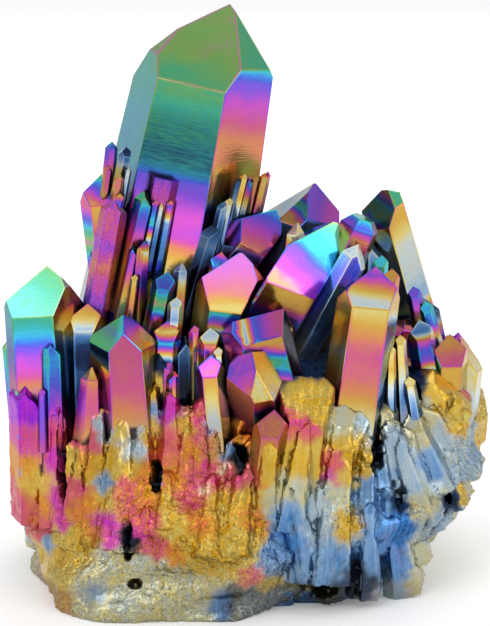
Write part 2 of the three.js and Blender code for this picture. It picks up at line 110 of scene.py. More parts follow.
# Colours of the film, from the thinnest coating to the thickest, and their place on its scale.
FILM = {
    "black": (0.00, (0.006, 0.008, 0.014)),
    "navy": (0.05, (0.012, 0.030, 0.100)),
    "steel": (0.12, (0.065, 0.190, 0.450)),
    "ice": (0.19, (0.270, 0.410, 0.570)),
    "silver": (0.25, (0.480, 0.550, 0.550)),
    "cream": (0.31, (0.600, 0.500, 0.160)),
    "gold": (0.38, (0.550, 0.330, 0.055)),
    "orange": (0.45, (0.580, 0.200, 0.100)),
    "rose": (0.51, (0.550, 0.100, 0.220)),
    "magenta": (0.57, (0.480, 0.070, 0.450)),
    "violet": (0.63, (0.200, 0.070, 0.550)),
    "indigo": (0.69, (0.070, 0.090, 0.550)),
    "blue": (0.75, (0.040, 0.220, 0.620)),
    "cyan": (0.80, (0.045, 0.420, 0.550)),
    "teal": (0.85, (0.050, 0.360, 0.250)),
    "green": (0.90, (0.080, 0.390, 0.190)),
    "olive": (0.95, (0.200, 0.380, 0.100)),
    "mauve": (1.00, (0.420, 0.200, 0.300)),
}


def spread(n):
    """A repeatable spread of numbers from 0 to 1."""
    return math.modf(abs(math.sin(n * 12.9898) * 43758.5453))[0]


class Crystal:
    """A crystal as its faces: where its tip, its six sides and its six end faces stand, in mm."""

    def __init__(self, name, tip, tilt, sides, drops, long, taper=1, broken=0):
        lean, nod, turn = (math.radians(angle) for angle in tilt)
        self.name, self.long, self.sides, self.drops, self.broken = name, long, sides, drops, broken
        self.tip = Vector(tip) - MIDDLE
        self.up = Vector((math.sin(lean) * math.cos(nod), -math.sin(nod), math.cos(lean) * math.cos(nod)))
        self.front = (Vector((0, -1, 0)) + self.up * self.up.y).normalized()
        self.right = self.up.cross(self.front)
        self.taper = math.radians(taper)
        self.faces = self._faces(turn)

    def _faces(self, turn):
        """{face: (normal, a point on it, the direction across it)}."""
        faces = {}
        for k in range(6):
            bearing = turn + math.radians(60 * k)
            out = self.front * math.cos(bearing) + self.right * math.sin(bearing)
            across = self.up.cross(out)
            side = out * math.cos(self.taper) + self.up * math.sin(self.taper)
            end = out * math.cos(END_FACE_RISE) + self.up * math.sin(END_FACE_RISE)
            faces[f"side{k}"] = (side, self.tip + side * self.sides[k], across)
            down = self.drops[k] * math.sin(END_FACE_RISE)
            faces[f"end{k}"] = (end, self.tip - end * down, across)
        faces["foot"] = (-self.up, self.tip - self.up * self.long, self.right)
        if self.broken:
            faces["break"] = (self.up, self.tip - self.up * self.broken, self.right)
        return faces

    def planes(self):
        """The faces' normals, points and directions across, a row for each face."""
        return (np.array([face[part] for face in self.faces.values()]) for part in range(3))

    def varied(self):
        """A number from 0 to 1 of its own for each face."""
        return np.array([spread(3 * n + self.long) for n in range(len(self.faces))])

    def seed(self):
        """Where its streaks start, so that no two crystals have the same."""
        return 10 * spread(sum(map(ord, self.name)))


def uneven(name, tip, tilt, sides, drops, long, taper=1, broken=0):
    """A crystal whose six sides stand at their own distances from its axis."""
    return Crystal(name, tip, tilt, sides, drops, long, taper, broken)


def even(name, tip, tilt, half, long, habit, taper=1, broken=0):
    """A crystal with even sides, tilted [to the right, to the front, about its axis] in degrees."""
    drops = [drop * half for drop in HABITS[habit]]
    return Crystal(name, tip, tilt, [half] * 6, drops, long, taper, broken)


# The crystals, piece by piece.
PIECES = {
    "main_point": [
        uneven("main", [-3.5, 4, 100], [11, 4, -9],
          [10.4, 9, 8.6, 9.5, 10.2, 10.9], [-0.75, -2.5, -0.75, 0, 1.75, -4.5], 92, 3),
        even("growth_slab", [-12.5, -5, 75.5], [11, 4, -9], 2.4, 32, "sharp", broken=4.5),
        even("green_tip", [-16.5, -7, 69.5], [14, 2, 20], 1.5, 22, "right"),
        even("slit_tip_a", [-15, -7, 67.5], [12, 2, 10], 0.6, 14, "front"),
        even("slit_tip_b", [-14, -7, 67], [12, 2, 10], 0.5, 12, "sharp"),
        even("slit_tip_c", [-12.5, -7, 67.5], [11, 2, 10], 0.6, 14, "front"),
        even("low_tip_a", [-18.5, -8.5, 60], [12, 0, 0], 0.8, 20, "right"),
        even("low_tip_b", [-17, -9, 61], [5, 0, 30], 1, 22, "front"),
        even("low_tip_c", [-18.5, -10.5, 55.5], [8, 0, 10], 0.6, 14, "front"),
        even("low_tip_d", [-13, -12, 56.5], [12, 8, 0], 1.7, 18, "front"),
        even("low_tip_e", [-10.5, -10.5, 57.5], [6, 0, 15], 1.1, 18, "sharp"),
        even("low_tip_f", [-11.5, -14, 52.5], [4, 0, 0], 1.1, 14, "front"),
        even("dark_slab", [-5, -8, 64], [17, 0, 20], 1.5, 32, "left"),
    ],
    "left_shoulder": [
        even("upper_left_a", [-22.5, -3.5, 77], [6, 2, 10], 0.9, 20, "sharp"),
        even("upper_left_b", [-20, -5, 76.5], [11, 2, 30], 1, 20, "front"),
        even("upper_left_c", [-23, -5, 73], [9, 2, 10], 0.6, 16, "sharp"),
        even("upper_left_d", [-21, -7, 72], [9, 2, 0], 0.7, 16, "left"),
        even("upper_left_e", [-19.5, -6.5, 73], [12, 2, 0], 0.5, 16, "sharp"),
        even("upper_left_f", [-21, -8.5, 69], [9, 2, 0], 0.8, 16, "front"),
        even("shoulder", [-25, -3, 72], [-6, 0, 2], 3.2, 30, "front", taper=0),
        even("bark_column", [-21.5, -8, 68.5], [11, 2, 0], 2, 34, "back", taper=0.5),
    ],
    "comb": [
        even("comb_0", [-1, -4, 71], [14, 0, 10], 0.6, 15, "left"),
        even("comb_1", [0, -3.5, 71.5], [14, 0, 10], 0.7, 15, "sharp"),
        even("comb_2", [1, -3, 71], [14, 0, 10], 0.7, 15, "right"),
        even("comb_3", [2, -2, 71], [14, 0, 10], 0.6, 15, "front"),
        even("comb_4", [3.5, -1.5, 71.5], [14, 0, 10], 0.8, 15, "back"),
        even("comb_5", [4, -1, 71.5], [13, 0, 10], 0.5, 15, "sharp"),
        even("comb_low_a", [-2.5, -7, 68], [13, 0, 10], 0.7, 15, "front"),
        even("comb_low_b", [-3.5, -7.5, 67.5], [13, 0, 20], 0.8, 18, "left"),
        even("dark_box", [-2.5, -6, 63.75], [13, 0, 20], 1.6, 16, "sharp", broken=4),
        even("box_step", [-3, -7, 61.25], [14, 0, 20], 1.6, 14, "sharp", broken=4),
        even("pale_step", [-4, -8.5, 59.25], [14, 4, 10], 1.6, 16, "front"),
    ],
    "faceted_crystals": [
        uneven("pink_yellow", [-1, -9.5, 59.75], [7, 1, 0],
          [5.5, 4, 5, 5.4, 4.9, 5.8], [2.7, -0.3, -0.6, -0.6, 0.4, -4], 32, 1.5),
        uneven("magenta_facet", [4.75, -2.5, 65.75], [36, -2, 19],
          [3.9, 4, 3.5, 4, 4, 4.2], [2.6, -3.6, -2.9, -1.8, 1, -5.8], 34, 1.5),
        uneven("shelf", [14.75, -8, 64.75], [29, 10, 21],
          [6.3, 4.7, 6.9, 6.3, 3.8, 9.8], [4.5, -3.5, -3.5, -1.5, 2.1, -3.9], 45, 0.5),
        uneven("centre_magenta", [2, -16.5, 53], [-13, 0, 10],
          [4.3, 3.8, 3.3, 3.3, 6, 6.4], [1.1, -4.7, -5.4, 4.8, -3.4, -3.7], 40, 1),
        even("between", [9, -3, 63], [6, 0, 30], 1.6, 24, "sharp"),
        even("teal_small", [-5.5, -11, 49.5], [0, 0, 0], 1.1, 24, "front"),
        even("gold_side", [7, -14, 50], [8, 0, 20], 1.5, 30, "right"),
        uneven("front_facing", [2, -25, 44], [-1, 33, 12],
          [3.9, 3.5, 6.3, 5.7, 5, 3.2], [0.7, 1.5, -4.3, -2.5, -3.2, 0.7], 18, 1),
        even("stepped", [10.5, -20, 42], [8, 5, 10], 4.4, 34, "chisel", taper=4),
        even("orange_facet", [4.5, -27, 36.5], [5, 20, 0], 2.4, 14, "front"),
    ],
    "back_right_points": [
        uneven("back_top", [11.5, 7, 68.5], [17, -4, 44],
          [5.6, 6.5, 7.6, 4.8, 5.7, 7.7], [-1.2, -4.6, 0, 1.1, 0.5, -2.4], 45, 1),
        even("round_shoulder", [21, -4, 66], [22, 4, 12], 3, 40, "sharp", broken=2.2),
        even("gap_back", [22, 3, 59.5], [0, 0, 15], 2.1, 34, "right"),
        even("silver_long", [20, -8, 60.5], [27, 6, 14], 2.2, 40, "right"),
        even("small_cyan", [23, -8, 58.5], [4, 0, 0], 1.2, 30, "front"),
        uneven("long_prism", [21.5, -15, 58.5], [7, 3, 6],
          [3.75, 4.25, 4.5, 4.5, 4.5, 4.75], [2.25, -1.5, 0, 0, 1, -1], 44, 1),
        even("gold_prism", [24.5, -12, 57], [6, 0, 0], 1.4, 30, "front"),
        even("silver_column", [23, -13, 51], [3, 0, 10], 1.1, 34, "right"),
        uneven("right_back", [23.25, 6.5, 66.75], [-16, 20, -25],
          [5.4, 5, 3.4, 5.8, 5.9, 3.8], [-2.9, -4.9, -4.3, 0.5, 1.1, -6.6], 42, 1.5),
        uneven("back_fill_a", [37, 12, 40.5], [4, -2, 5],
          [5.2, 4.6, 4.8, 5, 5, 4.6], [0.6, -0.6, 0, 0.6, 0, -0.6], 24, 2),
    ],
    "right_edge": [
        even("violet_small", [29, 0, 51.5], [-12, 0, 0], 1.1, 28, "front"),
        even("cyan_small", [31, -1, 49], [-15, 0, 0], 1.1, 28, "front"),
        even("blue_gradient", [29.5, -6, 47], [-10, 0, 10], 2, 26, "front"),
        even("navy_column", [31, 2, 49], [-12, 0, 0], 2.1, 26, "sharp"),
        even("white_prism_a", [24.5, -14, 44], [0, 0, 0], 0.7, 22, "front"),
        even("white_prism_b", [26, -12, 45.5], [-4, 0, 0], 0.9, 24, "front"),
        even("white_chip", [27.5, -13, 38.5], [-10, 0, 0], 0.9, 20, "front"),
        even("right_mass", [35, -5, 44.5], [2, 4, 10], 3.1, 24, "front"),
        even("right_outer", [38.5, 0, 43], [6, 0, 10], 3.3, 22, "right"),
        even("right_rim", [37.5, 3, 42.5], [4, 0, 10], 1.9, 26, "sharp"),
    ],
    "left_points": [
        uneven("left_point", [-34.3, -9, 57.5], [-3, 0, -3],
          [6.1, 4.9, 6.9, 5, 3.9, 7.1], [0.6, -2, 0, 0, 2, -6], 36, 0.5),
        even("far_left_tip", [-40.5, -8, 43.5], [-5, 0, 0], 0.9, 24, "sharp"),
        even("mid_left_tip", [-32.5, -14, 46], [0, 0, 20], 1.8, 40, "right"),
        even("left_dark_tip", [-27, -10, 51], [-1, 0, -5], 2.8, 48, "front"),
        uneven("cyan_facet", [-20.5, -17, 51], [-3, 5, -60],
          [4, 4.25, 4.75, 4.75, 4.75, 5.75], [0.75, -2.25, 0, 0, 2, -6], 44, 2),
        even("column_tip", [-25.5, -17, 41], [3, 3, 10], 1.4, 38, "sharp", taper=5),
        even("orange_column", [-29, -18, 29], [0, 4, 10], 1.1, 20, "front", taper=8),
        even("left_fused_a", [-38.5, -9, 35.5], [-8, 3, 5], 2, 28, "right", taper=2),
        even("left_fused_b", [-33.5, -13, 36], [-3, 3, -5], 2.2, 28, "left", taper=2),
        even("tiny_tip_a", [-38, -14.5, 37], [-2, 0, 0], 0.6, 9, "front"),
        even("tiny_tip_b", [-34, -16, 37], [0, 0, 0], 0.6, 11, "front"),
    ],
    "small_tips": [
        even("pale_green_tip", [-13, -15, 49], [3, 0, 0], 2.1, 34, "front"),
        even("dark_prism", [-10.5, -14, 46], [0, 0, 10], 1.7, 30, "left"),
        even("pink_tip", [-8.5, -15, 47.75], [0, 0, 20], 0.8, 30, "front"),
        even("white_tip", [-6, -15.5, 47.75], [0, 0, 10], 1.7, 30, "front"),
        even("white_small", [-4.5, -18, 44.75], [0, 0, 10], 0.8, 20, "front"),
        even("gold_body", [-6, -19.5, 44], [-5, 5, -5], 2, 30, "front"),
        even("violet_tip", [-13, -17, 42.5], [0, 0, 0], 0.9, 24, "front"),
        even("narrow_tip", [-12, -19, 41], [0, 0, 0], 0.9, 20, "left"),
        even("rough_gold_a", [-16, -16, 45.5], [2, 6, 0], 1.7, 36, "chisel", taper=4),
        even("rough_gold_b", [-14, -17, 44], [4, 6, 10], 1.3, 30, "right", taper=3),
    ],
    "fused_columns": [
        even("low_a", [2, -21, 32], [9, 7, 15], 3.9, 34, "chisel", taper=3),
        even("low_b", [9.5, -20.5, 32.5], [8, 8, 10], 2.5, 36, "left", taper=3),
        even("low_c", [16.5, -18.5, 36], [9, 8, 0], 4.4, 40, "chisel"),
        even("low_e", [21, -19, 29], [3, 8, 0], 1.5, 28, "front", taper=2),
        even("low_f", [25, -15, 31], [-20, 10, 0], 2.7, 21, "front", taper=2),
        even("low_g", [24, -16, 32.5], [-12, 8, 0], 1.5, 28, "front", taper=2),
        even("low_h", [24.5, -9, 39], [-46, 12, 10], 4.7, 15.5, "left", taper=2),
        even("low_i", [26, -15, 21], [4, 11, 0], 3, 19, "left", taper=2),
        even("low_j", [20.5, -22, 18.5], [1, 7, 0], 1.2, 15, "front"),
        even("low_k", [29.5, -10, 30], [-24, 10, 0], 2.9, 17, "front", taper=2),
        even("low_l", [35, -4, 28.5], [0, 8, 0], 2.7, 16, "front", taper=2),
        even("low_m", [-12, -18.5, 36.5], [0, 6, 0], 1.4, 26, "left", taper=3),
        even("low_n", [-8, -20, 35], [1, 7, 0], 1.2, 24, "front", taper=3),
        even("low_mid", [-10, -19, 35.5], [2, 7, 20], 1.6, 24, "chisel", taper=3),
        even("fill_a", [-21, -18, 32.5], [1, 6, 0], 2.1, 26, "left", taper=4),
        even("fill_c", [-14.5, -16, 36.5], [2, 7, 0], 1.8, 30, "chisel", taper=4),
        even("fill_e", [0, -18, 35], [2, 7, 10], 2.2, 30, "right", taper=2),
        even("fill_h", [6.5, -18, 36], [6, 7, 0], 2, 32, "front", taper=2),
        even("fill_i", [23.5, -14, 36], [-4, 6, 0], 1.8, 32, "right", taper=2),
        even("fill_j", [-32, -14, 28], [-1, 5, 0], 1.5, 26, "sharp", taper=3),
        even("foot_column", [6.5, -18.5, 10], [12, 8, 0], 1.4, 12, "left", taper=2),
        even("foot_slab", [-34.5, -14, 12.5], [-16, 6, 0], 2, 14, "chisel", taper=2),
        even("foot_blue_a", [19.5, -16.5, 14], [2, 8, 0], 1.8, 14, "chisel"),
        even("foot_blue_b", [26, -13, 15], [2, 10, 0], 2.3, 15, "left"),
        even("foot_window", [-3.5, -25, 6], [0, 3, 0], 2, 9, "chisel"),
        even("low_d", [8, -21, 22.5], [6, 6, 0], 1.8, 20, "chisel", taper=3),
        even("foot_blue_c", [13, -17, 11.5], [4, 6, 0], 2.3, 12, "chisel"),
    ],
    "back_crystals": [
        even("back_a", [-13, 15, 64], [-4, -8, 0], 5.2, 46, "back"),
        even("back_b", [7, 17, 55], [6, -12, 15], 4.6, 42, "front"),
        even("back_c", [-24, 13, 50], [-12, -8, 20], 4.2, 38, "back"),
        even("back_d", [19, 16, 49], [12, -10, 0], 4.6, 38, "left"),
        even("back_e", [-1, 25, 46], [0, -16, 10], 4.4, 36, "back"),
        even("back_f", [28, 11, 45], [6, -6, 25], 3.6, 34, "back"),
        even("back_g", [-31, 8, 41], [-10, -4, 0], 3.8, 32, "right"),
        even("back_h", [-19, 25, 38], [-10, -20, 10], 4.2, 28, "back"),
        even("back_i", [11, 26, 36], [8, -20, 0], 4.4, 26, "back"),
        even("back_j", [24, 20, 33], [18, -16, 10], 3.8, 24, "front"),
        even("back_k", [-30, 18, 34], [-20, -14, 0], 3.8, 24, "left"),
        even("back_l", [0, 14, 60], [2, -10, 20], 3.6, 36, "sharp"),
        even("back_m", [-9, 29, 33], [-4, -30, 0], 3.4, 20, "left"),
        even("back_n", [4, 31, 25], [4, -42, 20], 3.2, 16, "front"),
        even("back_o", [-26, 27, 25], [-28, -34, 10], 3, 16, "sharp"),
        even("back_p", [21, 27, 24], [26, -36, 0], 3.2, 16, "right"),
        even("back_r", [38, 4, 28], [26, -6, 0], 3.2, 18, "front"),
        even("back_t", [14, 21, 42], [10, -16, 5], 2.8, 24, "back"),
    ],
}

# Columns that only just stand out of the rock.
FUSED_LOW = [
    even("ridge_a", [25.1, -16.5, 30.0], [-18, 8, 0], 1.3, 18, "left", taper=6),
    even("ridge_b", [27.3, -13.8, 32.3], [-22, 12, 10], 1.6, 18, "front", taper=7),
    even("ridge_c", [29.3, -12.2, 34.9], [-29, 21, 0], 1.8, 19, "right", taper=7),
    even("ridge_d", [24.0, -16.2, 32.3], [-8, 6, 0], 1.3, 15, "front", taper=3),
    even("ridge_e", [22.3, -17.3, 28.7], [-4, 1, 20], 1, 13, "left", taper=5),
    even("blue_a", [20.6, -22.5, 19.4], [-1, 10, 0], 1, 18, "front", taper=4),
    even("blue_b", [23.5, -20.6, 21.4], [-9, 22, 15], 1.1, 22, "left", taper=8),
    even("blue_c", [26.9, -19.8, 20.0], [0, 24, 0], 0.9, 18, "right", taper=5),
    even("blue_d", [17.7, -21.3, 9.5], [2, 43, 0], 1, 13, "left", taper=6),
    even("shaft_a", [20.7, -17.6, 30.3], [2, -10, 0], 1.1, 17, "right", taper=4),
    even("shaft_b", [16.2, -18.2, 35.8], [5, -5, 10], 2.2, 31, "front", taper=5),
    even("shaft_c", [10.1, -23.8, 34.5], [8, 7, 0], 1.2, 20, "left", taper=7),
    even("shaft_d", [7.2, -24.1, 24.8], [-9, 7, 30], 0.8, 19, "sharp", taper=8),
    even("shaft_e", [4.4, -27.3, 31.9], [6, 20, 10], 1, 21, "right", taper=7),
    even("shaft_f", [0.8, -21.0, 30.6], [8, -15, 0], 1, 20, "left", taper=7),
    even("shaft_g", [12.0, -23.2, 22.7], [-7, 14, 20], 0.9, 22, "sharp", taper=6),
    even("middle_a", [-12.1, -19.2, 38.2], [2, -1, 0], 1, 18, "right", taper=5),
    even("middle_b", [-9.6, -18.5, 34.9], [2, -9, 10], 0.9, 16, "sharp", taper=6),
    even("middle_c", [-7.3, -19.3, 37.2], [1, -3, 0], 1, 17, "left", taper=5),
    even("middle_d", [-5.0, -19.8, 32.5], [1, 3, 20], 0.9, 11, "front", taper=5),
    even("middle_e", [-15.4, -18.3, 38.6], [0, 5, 0], 1, 15, "left", taper=5),
    even("grown_a", [-16.3, -25.3, 19.9], [0, 6, 0], 0.9, 12, "left", taper=4),
    even("grown_b", [-12.8, -21.1, 25.0], [3, -28, 0], 0.8, 11, "front", taper=6),
    even("grown_c", [-5.5, -21.6, 24.4], [3, -32, 0], 0.9, 15, "left", taper=6),
    even("grown_d", [-2.8, -22.4, 23.2], [3, -26, 20], 0.8, 14, "right", taper=6),
    even("grown_e", [-8.8, -20.3, 25.3], [3, -27, 10], 0.8, 15, "sharp", taper=6),
    even("grown_f", [-20.8, -19.4, 26.8], [5, -14, 0], 0.9, 16, "front", taper=8),
    even("grown_g", [-18.6, -20.6, 24.3], [3, -18, 30], 0.8, 14, "left", taper=7),
    even("grown_h", [-24.5, -17.1, 35.0], [2, -7, 0], 1.1, 22, "front", taper=6),
    even("flank_a", [-35.9, -13.5, 40.0], [0, 10, 0], 3.6, 28, "right"),
    even("flank_b", [-31.9, -14.7, 35.0], [-1, -0, 10], 1.4, 21, "left", taper=3),
    even("apron_a", [-20.4, -18.7, 34.4], [2, -8, 20], 1.2, 21, "left", taper=7),
    even("apron_b", [-17.1, -19.2, 33.0], [0, -4, 0], 1, 15, "sharp", taper=7),
    even("apron_c", [-27.2, -17.8, 29.3], [2, -5, 30], 1.2, 19, "sharp", taper=7),
    even("rim_a", [34.8, -11.3, 35.4], [-11, 25, 0], 1.6, 16, "left", taper=5),
    even("rim_b", [34.3, -9.5, 27.0], [-4, -1, 20], 1.6, 13, "sharp", taper=6),
    even("rear_c", [21.3, 34.6, 27.2], [4, -28, 0], 1, 27, "sharp", taper=5),
    even("rear_d", [16.1, 31.7, 28.2], [4, -17, 10], 1.4, 26, "left", taper=4),
    even("rear_e", [8.3, 29.0, 35.1], [0, -6, 30], 1.1, 32, "back", taper=4),
    even("rear_f", [2.8, 27.9, 29.1], [-4, -5, 0], 1.7, 26, "right", taper=3),
    even("rear_g", [-2.5, 28.7, 33.0], [-2, -5, 15], 1, 30, "sharp", taper=5),
    even("rear_h", [-7.5, 27.8, 27.1], [-5, -4, 0], 1.5, 24, "back", taper=4),
    even("rear_i", [-13.6, 28.2, 31.1], [-5, -5, 20], 1.2, 28, "left", taper=4),
    even("rear_j", [-22.0, 29.0, 29.2], [-11, -7, 0], 1.6, 27, "right", taper=4),
    even("rear_k", [-31.3, 26.9, 30.2], [-14, -6, 10], 1.2, 28, "sharp", taper=4),
    even("rear_l", [-36.8, 21.0, 25.3], [-14, -5, 0], 1.6, 23, "back", taper=4),
    even("rear_m", [-41.5, 12.5, 24.1], [-15, -1, 20], 1.2, 22, "left", taper=4),
    even("rear_o", [-39.7, 2.6, 23.1], [-10, 2, 0], 1.4, 20, "right", taper=4),
]

# The colours down each crystal from its tip, the length they are spread over in mm, and their tone:
# below 0 darker, above 0 paler.
# The tone is painted light and shade: paler where a face catches the light, darker where it lies in shade.
WASHES = {
    "main": ("olive green teal cyan indigo violet magenta orange gold cream", 72, 0.05),
    "left_point": ("teal cyan indigo violet magenta orange gold", 26, 0.2),
    "pink_yellow": ("magenta rose orange cream gold violet navy", 22, 0.2),
    "magenta_facet": ("blue violet magenta orange gold navy", 18, 0),
    "shelf": ("teal cyan violet magenta orange gold silver", 26, 0.3),
    "back_top": ("violet magenta gold silver ice", 18, 0),
    "right_back": ("teal olive gold cream silver ice violet rose", 34, 0),
    "long_prism": ("rose violet silver gold orange rose gold", 28, 0.1),
    "cyan_facet": ("cyan violet orange rose magenta gold", 26, 0.1),
    "growth_slab": ("indigo violet magenta rose orange gold cream", 17, -0.05),
    "green_tip": ("green teal indigo violet magenta orange gold", 11, 0.05),
    "slit_tip_a": ("silver cyan blue navy navy", 8, 0.1),
    "slit_tip_b": ("silver steel navy black", 7, 0.1),
    "slit_tip_c": ("ice cyan navy navy black", 7, 0.2),
    "low_tip_a": ("cyan rose magenta orange gold cream", 10, 0.1),
    "low_tip_b": ("cyan ice magenta rose olive silver", 11, 0),
    "low_tip_c": ("silver cream gold", 6, 0.1),
    "low_tip_d": ("indigo violet olive gold navy", 12, -0.1),
    "low_tip_e": ("silver navy gold orange ice navy", 12, -0.1),
    "low_tip_f": ("silver ice steel blue", 8, 0.2),
    "dark_slab": ("navy ice navy black steel navy", 20, -0.45),
    "upper_left_a": ("cyan rose magenta navy steel navy", 12, 0),
    "upper_left_b": ("navy steel magenta navy navy", 12, -0.25),
    "upper_left_c": ("gold magenta navy steel navy", 12, -0.1),
    "upper_left_d": ("cream rose navy magenta navy", 12, 0),
    "upper_left_e": ("ice navy steel navy", 10, 0),
    "upper_left_f": ("ice teal violet navy magenta", 10, 0.15),
    "shoulder": ("teal blue violet magenta orange cream gold gold orange magenta violet", 18, 0.15),
    "bark_column": ("magenta rose rose magenta orange rose magenta violet navy", 24, 0.05),
    "comb_0": ("black navy steel navy", 8, -0.5),
    "comb_1": ("silver cream cream ice navy", 8, 0.1),
    "comb_2": ("gold olive cream steel navy", 8, -0.35),
    "comb_3": ("cream gold gold blue navy", 8, -0.25),
    "comb_4": ("gold cream gold indigo navy", 9, -0.1),
    "comb_5": ("orange gold magenta navy", 9, 0),
    "comb_low_a": ("silver steel navy", 7, 0),
    "comb_low_b": ("ice navy black", 8, -0.2),
    "dark_box": ("steel navy black navy", 8, -0.6),
    "box_step": ("silver ice black navy", 6, 0),
    "pale_step": ("silver cyan ice steel navy", 9, 0.3),
    "centre_magenta": ("indigo violet magenta rose orange gold gold", 22, 0),
    "between": ("ice ice rose navy", 6, 0.15),
    "teal_small": ("teal blue indigo navy", 9, 0.1),
    "gold_side": ("cream gold rose navy", 9, 0),
    "front_facing": ("silver rose magenta rose orange cream", 13, 0.1),
    "orange_facet": ("rose orange orange gold gold", 10, 0),
    "round_shoulder": ("teal cyan violet gold rose silver silver", 12, 0.05),
    "gap_back": ("silver steel navy black", 12, -0.1),
    "silver_long": ("silver ice steel steel ice silver", 26, 0.5),
    "small_cyan": ("cyan teal gold silver", 10, 0.2),
    "gold_prism": ("gold orange gold cream steel", 14, 0),
    "silver_column": ("ice silver steel silver ice", 18, 0),
    "back_fill_a": ("gold silver ice silver", 16, 0),
    "violet_small": ("indigo violet rose navy", 9, 0.1),
    "cyan_small": ("cyan blue indigo navy", 8, 0.1),
    "blue_gradient": ("silver steel blue indigo navy black", 12, -0.1),
    "navy_column": ("steel navy blue navy black", 14, -0.35),
    "white_prism_a": ("silver silver cream ice navy", 9, 0.35),
    "white_prism_b": ("cream silver cream ice navy", 11, 0.3),
    "white_chip": ("silver silver navy", 5, 0.4),
    "right_mass": ("magenta rose gold gold cream", 12, 0),
    "right_outer": ("rose gold cream cream silver", 11, 0.1),
    "right_rim": ("magenta rose gold silver", 10, 0.05),
    "far_left_tip": ("green cyan blue indigo violet rose", 14, 0.2),
    "mid_left_tip": ("rose cyan blue indigo violet gold", 16, 0),
    "left_dark_tip": ("rose gold steel navy steel navy", 16, 0),
    "column_tip": ("cream rose magenta rose gold silver", 15, 0.1),
    "tiny_tip_a": ("teal cyan violet", 4, 0.3),
    "tiny_tip_b": ("rose magenta", 4, 0.2),
    "pale_green_tip": ("green cream green navy navy", 9, 0.2),
    "dark_prism": ("navy steel navy black navy", 12, -0.4),
    "pink_tip": ("rose rose cream cream silver", 7, 0.25),
    "white_tip": ("silver silver indigo navy navy", 9, 0.2),
    "white_small": ("silver silver ice navy", 5, 0.4),
    "gold_body": ("violet magenta gold cream gold orange", 14, 0.15),
    "violet_tip": ("violet magenta rose navy", 9, 0.05),
    "narrow_tip": ("silver cyan ice navy", 7, 0.2),
    "back_a": ("teal blue violet magenta rose orange gold", 22, 0),
    "back_b": ("cyan indigo magenta orange gold cream", 20, 0.1),
    "back_c": ("olive green cyan violet magenta gold", 20, 0.1),
    "back_d": ("magenta rose orange gold silver", 18, 0.1),
    "back_e": ("green teal indigo magenta orange", 20, 0),
    "back_f": ("gold rose magenta violet steel", 16, 0),
    "back_g": ("blue violet rose gold silver", 16, 0.1),
    "back_h": ("rose orange gold cream silver", 14, 0),
    "back_i": ("violet magenta orange gold ice", 15, 0.1),
    "back_j": ("cyan blue violet rose gold", 14, 0.1),
    "back_k": ("gold rose magenta indigo", 14, 0),
    "back_l": ("green cyan indigo magenta", 16, 0.15),
    "back_m": ("indigo magenta gold silver", 12, 0),
    "back_n": ("orange gold silver steel", 10, 0),
    "back_o": ("violet rose gold cream", 10, 0),
    "back_p": ("teal violet rose gold", 10, 0.05),
    "back_r": ("rose gold silver steel", 12, 0),
    "back_t": ("olive teal violet rose", 12, 0.1),
}
